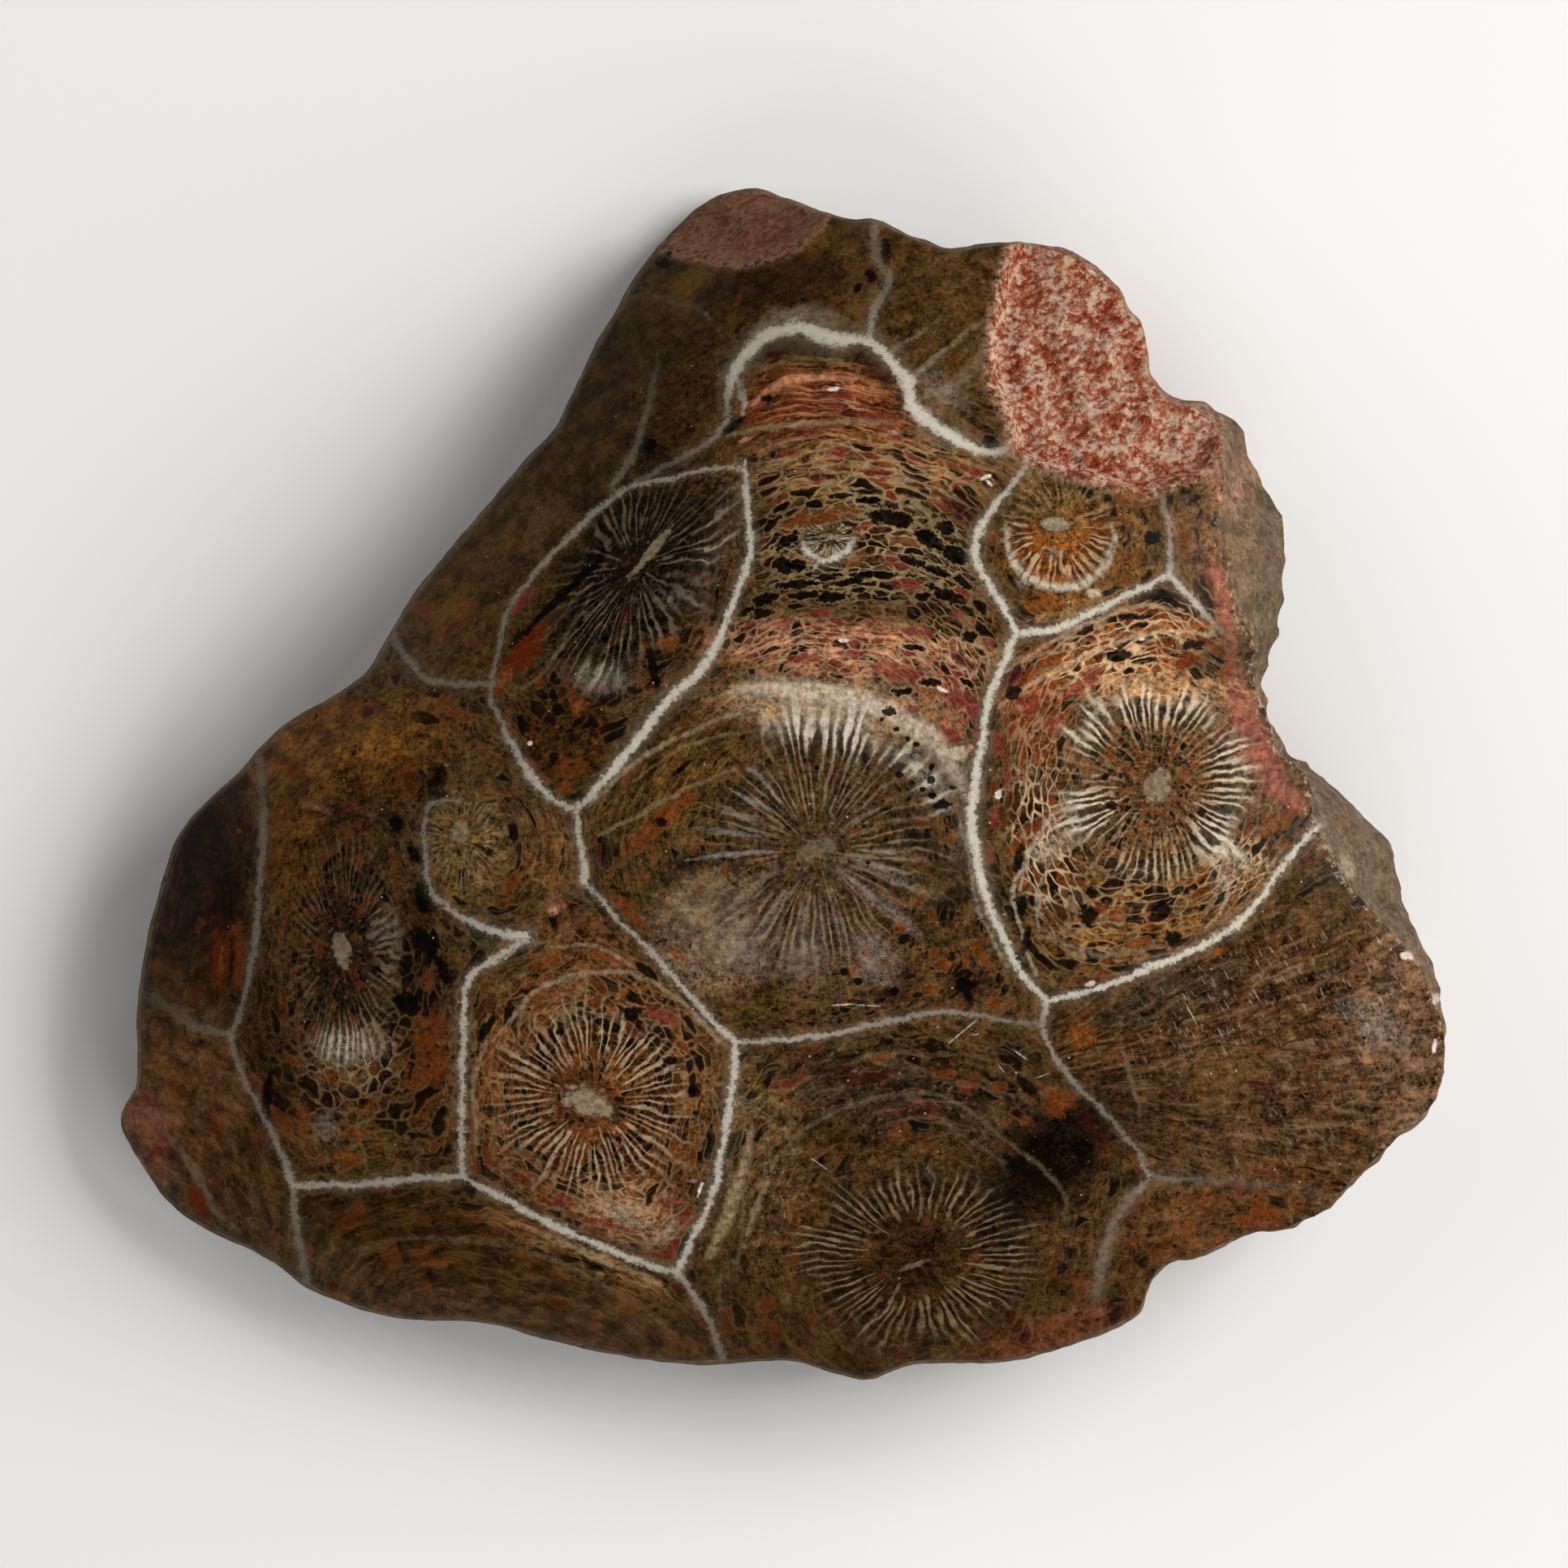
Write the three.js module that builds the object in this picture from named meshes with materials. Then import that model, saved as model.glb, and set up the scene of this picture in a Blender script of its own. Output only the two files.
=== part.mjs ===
// A polished slice of fossil colony coral, lying on its sawn back with its polished face up.
// One piece of stone: a domed polished face, a flat sawn back, a broken side on the right that
// flares out below the polished edge, and two patches of rough matrix at the top.
// Millimetres, +Z up. The origin is the middle of the slice's outline, on the sawn back.
import * as THREE from "three";

// Driving dimensions, in millimetres.
const CROWN = { x: 4, y: 0, height: 20 }; // the highest place of the polished face
const EDGE_LIP = 0.3; // how far the side stands out past the polished edge where it doesn't flare
const MATRIX_DEPTH = 0.8; // how far the rough matrix lies below the polished face
const MATRIX_STEP = 0.8; // width of the step down to it
const SAWN_DRAFT = 1.2; // how far the sawn back's edge lies inside the outline

// How finely the solid is cut into faces.
const BEARINGS = 144;
const FACE_RINGS = 14;
const UPPER_ROWS = 5; // rows of the side above its widest place
const LOWER_ROWS = 6; // and below it

// The outline seen from above, clockwise from the top.
const OUTLINE = [
  [-2.0, 33.4], [0.0, 32.9], [2.0, 32.1], [4.0, 31.6], [5.0, 31.6], [6.5, 31.0], [8.0, 30.4],
  [9.5, 30.0], [12.5, 30.4], [15.5, 30.0], [17.3, 29.0], [18.8, 27.8], [19.2, 26.8], [20.0, 26.0],
  [20.4, 24.0], [20.6, 23.0], [22.0, 21.6], [23.6, 21.5], [25.4, 20.2], [26.0, 19.0], [27.1, 16.4],
  [27.9, 15.0], [28.2, 13.4], [28.0, 10.0], [27.9, 8.4], [27.1, 6.2], [27.3, 4.2], [27.9, 2.6],
  [28.5, 1.5], [29.5, 1.2], [30.7, 0.2], [33.2, -2.4], [34.2, -3.8], [34.8, -6.8], [36.3, -10.0],
  [36.8, -12.0], [37.1, -14.8], [36.4, -17.8], [34.0, -20.2], [30.2, -23.9], [28.4, -24.9],
  [26.0, -25.2], [23.0, -26.6], [21.8, -26.8], [20.6, -27.8], [19.9, -29.6], [19.2, -30.1],
  [15.0, -31.7], [12.5, -32.3], [8.0, -32.4], [6.3, -32.8], [4.6, -33.4], [3.2, -33.1],
  [0.0, -32.3], [-6.6, -32.4], [-12.0, -31.4], [-17.0, -30.1], [-22.0, -29.8], [-26.6, -28.2],
  [-28.8, -26.6], [-33.8, -23.9], [-36.2, -20.8], [-37.1, -18.6], [-36.2, -16.8], [-36.1, -12.2],
  [-34.8, -5.5], [-33.6, -2.4], [-30.8, 0.4], [-28.0, 3.3], [-24.8, 5.2], [-23.3, 6.4],
  [-21.8, 9.0], [-17.4, 14.8], [-14.2, 18.6], [-12.7, 20.3], [-9.8, 26.0], [-7.2, 30.0],
  [-4.4, 32.6],
];

// The dome of the polished face, by bearing in degrees anticlockwise from +X: how far from the
// crown its foot lies, how high its foot is, and how square its shoulder is, where 2 is an even
// dome and more is flatter on top and steeper at the foot.
const DOME = [
  { bearing: 0, reach: 28, foot: 15.0, shoulder: 2.1 },
  { bearing: 30, reach: 28, foot: 14.3, shoulder: 2.1 },
  { bearing: 60, reach: 31, foot: 11.5, shoulder: 2.2 },
  { bearing: 85, reach: 33, foot: 8.0, shoulder: 2.3 },
  { bearing: 110, reach: 31, foot: 5.0, shoulder: 2.5 },
  { bearing: 140, reach: 27, foot: 4.6, shoulder: 2.8 },
  { bearing: 165, reach: 31, foot: 4.4, shoulder: 3.0 },
  { bearing: 185, reach: 39, foot: 4.2, shoulder: 3.1 },
  { bearing: 205, reach: 44.5, foot: 4.4, shoulder: 3.0 },
  { bearing: 225, reach: 40, foot: 5.2, shoulder: 2.8 },
  { bearing: 250, reach: 34, foot: 6.4, shoulder: 2.6 },
  { bearing: 275, reach: 33, foot: 8.4, shoulder: 2.4 },
  { bearing: 300, reach: 33, foot: 11.0, shoulder: 2.3 },
  { bearing: 325, reach: 36, foot: 13.5, shoulder: 2.2 },
  { bearing: 343, reach: 34, foot: 14.8, shoulder: 2.1 },
];

// Where the broken side flares out past the polished edge: bearing, half width in degrees, reach.
const FLARES = [
  { bearing: 31, spread: 11, reach: 3.8 },
  { bearing: -8, spread: 8, reach: 3.6 },
];
// The broken side runs from the matrix patch round to the lower right corner.
const BROKEN_SIDE = { bearing: 5, spread: 55 };
const BROKEN_HOLLOWS = { size: 4.5, depth: 2.4 };
const WORN_HOLLOWS = { size: 7, depth: 0.7 };

// The edges of the two rough matrix patches, as seen from above. They run on past the outline.
const MATRIX_PATCHES = [
  [
    [13.4, 34.0], [12.8, 30.2], [12.0, 28.0], [11.4, 25.0], [11.3, 22.4], [12.4, 20.0], [12.6, 18.4],
    [14.4, 17.4], [17.0, 16.8], [19.8, 15.9], [21.6, 16.6], [23.4, 17.2], [24.4, 19.4], [24.2, 25.0],
    [22.0, 34.0],
  ],
  [[-9.5, 31.0], [-6.0, 29.6], [-2.6, 28.9], [0.4, 29.6], [2.0, 31.0], [3.4, 34.5], [-8.0, 36.0]],
];
const MATRIX_LUMPS = { size: 2.6, depth: 0.8 };

const DEGREE = Math.PI / 180;
const TURN = 2 * Math.PI;

// A smooth closed curve of value against bearing, through [bearing in radians, value] pairs.
function roundTable(pairs) {
  const sorted = pairs
    .map(([bearing, value]) => [THREE.MathUtils.euclideanModulo(bearing, TURN), value])
    .sort((a, b) => a[0] - b[0]);
  const count = sorted.length;
  const at = (i) => {
    const lap = Math.floor(i / count);
    const [bearing, value] = sorted[i - lap * count];
    return [bearing + lap * TURN, value];
  };
  const slope = (i) => {
    const [before, after] = [at(i - 1), at(i + 1)];
    return (after[1] - before[1]) / (after[0] - before[0]);
  };
  return (bearing) => {
    const b = THREE.MathUtils.euclideanModulo(bearing, TURN);
    let i = sorted.findIndex((pair) => pair[0] > b);
    if (i < 0) i = count;
    const [from, to] = [at(i - 1), at(i)];
    const span = to[0] - from[0];
    const t = (b - from[0]) / span;
    return (
      from[1] * (1 + 2 * t) * (1 - t) ** 2 +
      slope(i - 1) * span * t * (1 - t) ** 2 +
      to[1] * t * t * (3 - 2 * t) +
      slope(i) * span * t * t * (t - 1)
    );
  };
}

const outlineRadius = roundTable(
  OUTLINE.map(([x, y]) => [
    Math.atan2(y - CROWN.y, x - CROWN.x),
    Math.hypot(x - CROWN.x, y - CROWN.y),
  ]),
);
const domeCurve = (key) => roundTable(DOME.map((each) => [each.bearing * DEGREE, each[key]]));
const domeReach = domeCurve("reach");
const domeFoot = domeCurve("foot");
const domeShoulder = domeCurve("shoulder");

// A bell of height 1 round a bearing, for what happens on one side of the slice only.
function near(bearing, { bearing: middle, spread }) {
  const apart = THREE.MathUtils.euclideanModulo(bearing / DEGREE - middle + 180, 360) - 180;
  return Math.exp(-((apart / spread) ** 2));
}

const flare = (bearing) =>
  FLARES.reduce((sum, each) => sum + each.reach * near(bearing, each), EDGE_LIP);

// Where the side is widest, as a share of the way down. It wanders round the slice.
const widest = (bearing) =>
  0.42 + 0.12 * Math.sin(3 * bearing + 1) + 0.08 * Math.sin(8 * bearing + 2);

// A repeatable fraction from 0 to 1 for each cell of a lattice.
function scatter(i, j, k, salt) {
  const s = Math.sin(i * 127.1 + j * 311.7 + k * 74.7 + salt * 53.3) * 43758.5453;
  return s - Math.floor(s);
}

// How deep scooped hollows are at a place. Each hollow is round a scattered point, one to each
// cell of a lattice, and ridges stand where two hollows meet, as on stone that broke in scoops.
function hollow(x, y, z, { size, depth }) {
  const here = [x / size, y / size, z / size];
  const cell = here.map(Math.floor);
  let nearest = 1;
  for (let n = 0; n < 27; n++) {
    const [i, j, k] = [(n % 3) - 1, (Math.floor(n / 3) % 3) - 1, Math.floor(n / 9) - 1];
    const at = [cell[0] + i, cell[1] + j, cell[2] + k];
    const apart = Math.hypot(...at.map((side, axis) => side + scatter(...at, axis) - here[axis]));
    nearest = Math.min(nearest, apart);
  }
  return depth * (1 - nearest);
}

// Signed distance to a closed outline: above 0 inside it.
function inside(x, y, ring) {
  let [distance, within] = [Infinity, false];
  ring.forEach(([ax, ay], i) => {
    const [bx, by] = ring[(i + 1) % ring.length];
    const [dx, dy] = [bx - ax, by - ay];
    const along = THREE.MathUtils.clamp(((x - ax) * dx + (y - ay) * dy) / (dx * dx + dy * dy), 0, 1);
    distance = Math.min(distance, Math.hypot(x - ax - along * dx, y - ay - along * dy));
    if (ay > y !== by > y && x < ax + ((y - ay) / dy) * dx) within = !within;
  });
  return within ? distance : -distance;
}

// How far the rough matrix lies below the polished face at a place.
function matrixDrop(x, y) {
  const steps = MATRIX_PATCHES.map((ring) =>
    THREE.MathUtils.smoothstep(inside(x, y, ring), 0, MATRIX_STEP),
  );
  return Math.max(...steps) * (MATRIX_DEPTH + hollow(x, y, 0, MATRIX_LUMPS));
}

// A point of the upper face: share runs from 0 at the crown to 1 at the polished edge.
function facePoint(bearing, share) {
  const radius = share * (outlineRadius(bearing) - flare(bearing));
  const x = CROWN.x + radius * Math.cos(bearing);
  const y = CROWN.y + radius * Math.sin(bearing);
  const fall = (radius / domeReach(bearing)) ** domeShoulder(bearing);
  return [x, y, CROWN.height - (CROWN.height - domeFoot(bearing)) * fall - matrixDrop(x, y)];
}

// A point of the side: upper runs from 0 at the polished edge to 1 at the widest place, lower
// from 0 there to 1 at the sawn back's edge. Hollows are scooped into both parts.
function sidePoint(bearing, upper, lower) {
  const top = facePoint(bearing, 1)[2];
  const z = top * (1 - widest(bearing) * upper) * (1 - lower);
  const inset =
    flare(bearing) * (1 - Math.sin((Math.PI / 2) * upper)) +
    SAWN_DRAFT * (1 - Math.cos((Math.PI / 2) * lower));
  const outer = outlineRadius(bearing) - inset;
  const [cos, sin] = [Math.cos(bearing), Math.sin(bearing)];
  const place = [CROWN.x + outer * cos, CROWN.y + outer * sin, z];
  const broken = near(bearing, BROKEN_SIDE);
  const scoop =
    broken * hollow(...place, BROKEN_HOLLOWS) + (1 - broken) * hollow(...place, WORN_HOLLOWS);
  const bite = lower > 0 ? Math.sin((Math.PI / 2) * lower) : 0.6 * Math.sin(Math.PI * upper);
  const radius = outer - scoop * bite;
  return [CROWN.x + radius * cos, CROWN.y + radius * sin, z];
}

// The closed skin of the slice: the crown, rings of the face, rows of the side, then the back.
function sliceGeometry() {
  const points = [[CROWN.x, CROWN.y, CROWN.height]];
  const rings = [];
  const addRing = (pointAt) => {
    rings.push(points.length);
    for (let b = 0; b < BEARINGS; b++) points.push(pointAt(((b + 0.5) / BEARINGS) * TURN));
  };
  for (let r = 1; r <= FACE_RINGS; r++) {
    addRing((bearing) => facePoint(bearing, 1 - (1 - r / FACE_RINGS) ** 1.25));
  }
  for (let s = 1; s <= UPPER_ROWS; s++) addRing((bearing) => sidePoint(bearing, s / UPPER_ROWS, 0));
  for (let s = 1; s <= LOWER_ROWS; s++) addRing((bearing) => sidePoint(bearing, 1, s / LOWER_ROWS));
  const backMiddle = points.push([CROWN.x, CROWN.y, 0]) - 1;

  const faces = [];
  for (let b = 0; b < BEARINGS; b++) {
    const next = (b + 1) % BEARINGS;
    faces.push(0, rings[0] + b, rings[0] + next);
    for (let r = 1; r < rings.length; r++) {
      const [above, below] = [rings[r - 1], rings[r]];
      faces.push(above + b, below + b, below + next, above + b, below + next, above + next);
    }
    faces.push(backMiddle, rings.at(-1) + next, rings.at(-1) + b);
  }
  const geometry = new THREE.BufferGeometry();
  geometry.setAttribute("position", new THREE.Float32BufferAttribute(points.flat(), 3));
  geometry.setIndex(faces);
  geometry.computeVertexNormals();
  return geometry;
}

const polishedCoral = new THREE.MeshStandardMaterial({
  color: 0x6b5840,
  roughness: 0.3,
  metalness: 0,
});

const slice = new THREE.Mesh(sliceGeometry(), polishedCoral);
slice.name = "coral_slice";

const part = new THREE.Group();
part.add(slice);

export default part;
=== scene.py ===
"""A polished slice of fossil colony coral, lying on its sawn back, seen from straight above.

One closed skin: a domed polished face, a broken side that flares out on the right, two patches
of rough matrix and a flat sawn back. The coral's cells, their walls, septa and dissepiments are
colour only, drawn from the slice's own coordinates.
"""

import bpy
import numpy as np
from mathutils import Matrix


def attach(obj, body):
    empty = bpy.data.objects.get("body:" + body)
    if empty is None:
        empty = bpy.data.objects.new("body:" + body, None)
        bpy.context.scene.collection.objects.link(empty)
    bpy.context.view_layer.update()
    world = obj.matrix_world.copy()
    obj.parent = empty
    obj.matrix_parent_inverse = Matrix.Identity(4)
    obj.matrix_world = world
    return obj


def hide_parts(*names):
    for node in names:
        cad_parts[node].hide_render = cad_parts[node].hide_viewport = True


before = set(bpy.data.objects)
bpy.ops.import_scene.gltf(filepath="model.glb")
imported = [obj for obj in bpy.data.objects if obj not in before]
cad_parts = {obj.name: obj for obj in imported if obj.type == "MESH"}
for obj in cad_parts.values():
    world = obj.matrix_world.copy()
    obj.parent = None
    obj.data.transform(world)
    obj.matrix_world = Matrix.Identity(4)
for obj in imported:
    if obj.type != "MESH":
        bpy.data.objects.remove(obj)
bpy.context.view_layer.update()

MM = 0.001
TURN = 2 * np.pi

# The form, in millimetres, with the same numbers as the solid.
CROWN = (4.0, 0.0, 20.0)
EDGE_LIP = 0.3
MATRIX_DEPTH, MATRIX_STEP = 0.8, 0.8
SAWN_DRAFT = 1.2

# The skin alone: how far it lies inside the outline, and how many faces it has across the face
# and the back, and down the side above and below its widest place.
SKIN = 0.17
FACE_GRID, BACK_GRID = 224, 112
UPPER_ROWS, LOWER_ROWS = 14, 18

# The drawing alone: how far out the matrix's border frays, the fall of the dome over which the
# stone turns calm, and the gap to the polished edge over which chips die out.
MATRIX_FRAY = 0.8
CALM_FALL = (5.0, 13.0)
RIM_CHIPS = (0.1, 0.9)

# Steps that keep the noises of two cells, or of two strands, from being alike.
SEPTA_SALT, NET_SALT, STRAND_SALT = 3.1, 47.0, 100

# A cell's size in mean half axes of its ring, and how far its net moves outwards with depth.
CELL_SIZE, NET_SLANT = 1.7, 0.8

# A soft ellipse is whole out to the first share of its half axes, and gone at the second.
SOFT_ELLIPSE = (0.5, 1.45)

# The cosine and sine of the way that the matrix's grains and the polishing scratches run.
GRAIN_WAY, SCRATCH_WAY = (0.77, 0.64), (0.87, 0.5)

# The surface: roughness where polished and how much more where rough, the strength and depth of
# the rough places' bumps, and how much the stone mirrors.
POLISH, ROUGHER = 0.2, 0.5
BUMP, BUMP_DEPTH = 0.5, 0.0003
SPECULAR, IOR = 0.03, 1.5

# The view, in metres: half the floor's width, how far it lies under the slice, the camera's lens
# in millimetres and its height.
FLOOR_HALF, FLOOR_DROP = 3, 0.00005
LENS, EYE_HEIGHT = 800, 1.938

# Scooped hollows: how far apart they lie and how deep they are.
EDGE_CHIPS = [(1.3, 0.5), (0.6, 0.2)]
MATRIX_GRAINS = [(2.6, 0.8), (0.95, 0.3)]
BROKEN_SCOOPS = [(4.5, 2.4)]
WORN_SCOOPS = [(7, 0.7)]
FINE_SCOOPS = [(1.7, 0.55), (0.8, 0.22)]

# The map: how many mm it spans, the middle and size of the face and of the back on it, and the
# strips that the side is cut into. A side face's third and fourth corner are one column ahead.
MAP_SPAN = 75.5
FACE_MAP, BACK_MAP = (0.4, 0.36, 0.78), (0.905, 0.36, 0.18)
STRIPS, STRIP_FOOT, STRIP_STEP, STRIP_HEIGHT, SIDE_HEIGHT = 3, 0.735, 0.085, 0.07, 16.5
ENDS_AHEAD = (2, 3)

OUTLINE = [
    (-2.0, 33.4), (0.0, 32.9), (2.0, 32.1), (4.0, 31.6), (5.0, 31.6), (6.5, 31.0), (8.0, 30.4),
    (9.5, 30.0), (12.5, 30.4), (15.5, 30.0), (17.3, 29.0), (18.8, 27.8), (19.2, 26.8),
    (20.0, 26.0), (20.4, 24.0), (20.6, 23.0), (22.0, 21.6), (23.6, 21.5), (25.4, 20.2),
    (26.0, 19.0), (27.1, 16.4), (27.9, 15.0), (28.2, 13.4), (28.0, 10.0), (27.9, 8.4),
    (27.1, 6.2), (27.3, 4.2), (27.9, 2.6), (28.5, 1.5), (29.5, 1.2), (30.7, 0.2), (33.2, -2.4),
    (34.2, -3.8), (34.8, -6.8), (36.3, -10.0), (36.8, -12.0), (37.1, -14.8), (36.4, -17.8),
    (34.0, -20.2), (30.2, -23.9), (28.4, -24.9), (26.0, -25.2), (23.0, -26.6), (21.8, -26.8),
    (20.6, -27.8), (19.9, -29.6), (19.2, -30.1), (15.0, -31.7), (12.5, -32.3), (8.0, -32.4),
    (6.3, -32.8), (4.6, -33.4), (3.2, -33.1), (0.0, -32.3), (-6.6, -32.4), (-12.0, -31.4),
    (-17.0, -30.1), (-22.0, -29.8), (-26.6, -28.2), (-28.8, -26.6), (-33.8, -23.9),
    (-36.2, -20.8), (-37.1, -18.6), (-36.2, -16.8), (-36.1, -12.2), (-34.8, -5.5), (-33.6, -2.4),
    (-30.8, 0.4), (-28.0, 3.3), (-24.8, 5.2), (-23.3, 6.4), (-21.8, 9.0), (-17.4, 14.8),
    (-14.2, 18.6), (-12.7, 20.3), (-9.8, 26.0), (-7.2, 30.0), (-4.4, 32.6),
]

# The dome: bearing in degrees, reach of its foot, height of its foot, squareness of its shoulder.
DOME = [
    (0, 28, 15.0, 2.1), (30, 28, 14.3, 2.1), (60, 31, 11.5, 2.2), (85, 33, 8.0, 2.3),
    (110, 31, 5.0, 2.5), (140, 27, 4.6, 2.8), (165, 31, 4.4, 3.0), (185, 39, 4.2, 3.1),
    (205, 44.5, 4.4, 3.0), (225, 40, 5.2, 2.8), (250, 34, 6.4, 2.6), (275, 33, 8.4, 2.4),
    (300, 33, 11.0, 2.3), (325, 36, 13.5, 2.2), (343, 34, 14.8, 2.1),
]

# Bearing and half width in degrees, and reach.
FLARES = [(31, 11, 3.8), (-8, 8, 3.6)]
BROKEN_SIDE = (5, 55)

MATRIX_PATCHES = [
    [
        (13.4, 34.0), (12.8, 30.2), (12.0, 28.0), (11.4, 25.0), (11.3, 22.4), (12.4, 20.0),
        (12.6, 18.4), (14.4, 17.4), (17.0, 16.8), (19.8, 15.9), (21.6, 16.6), (23.4, 17.2),
        (24.4, 19.4), (24.2, 25.0), (22.0, 34.0),
    ],
    [
        (-9.5, 31.0), (-6.0, 29.6), (-2.6, 28.9), (0.4, 29.6), (2.0, 31.0), (3.4, 34.5),
        (-8.0, 36.0),
    ],
]

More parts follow.
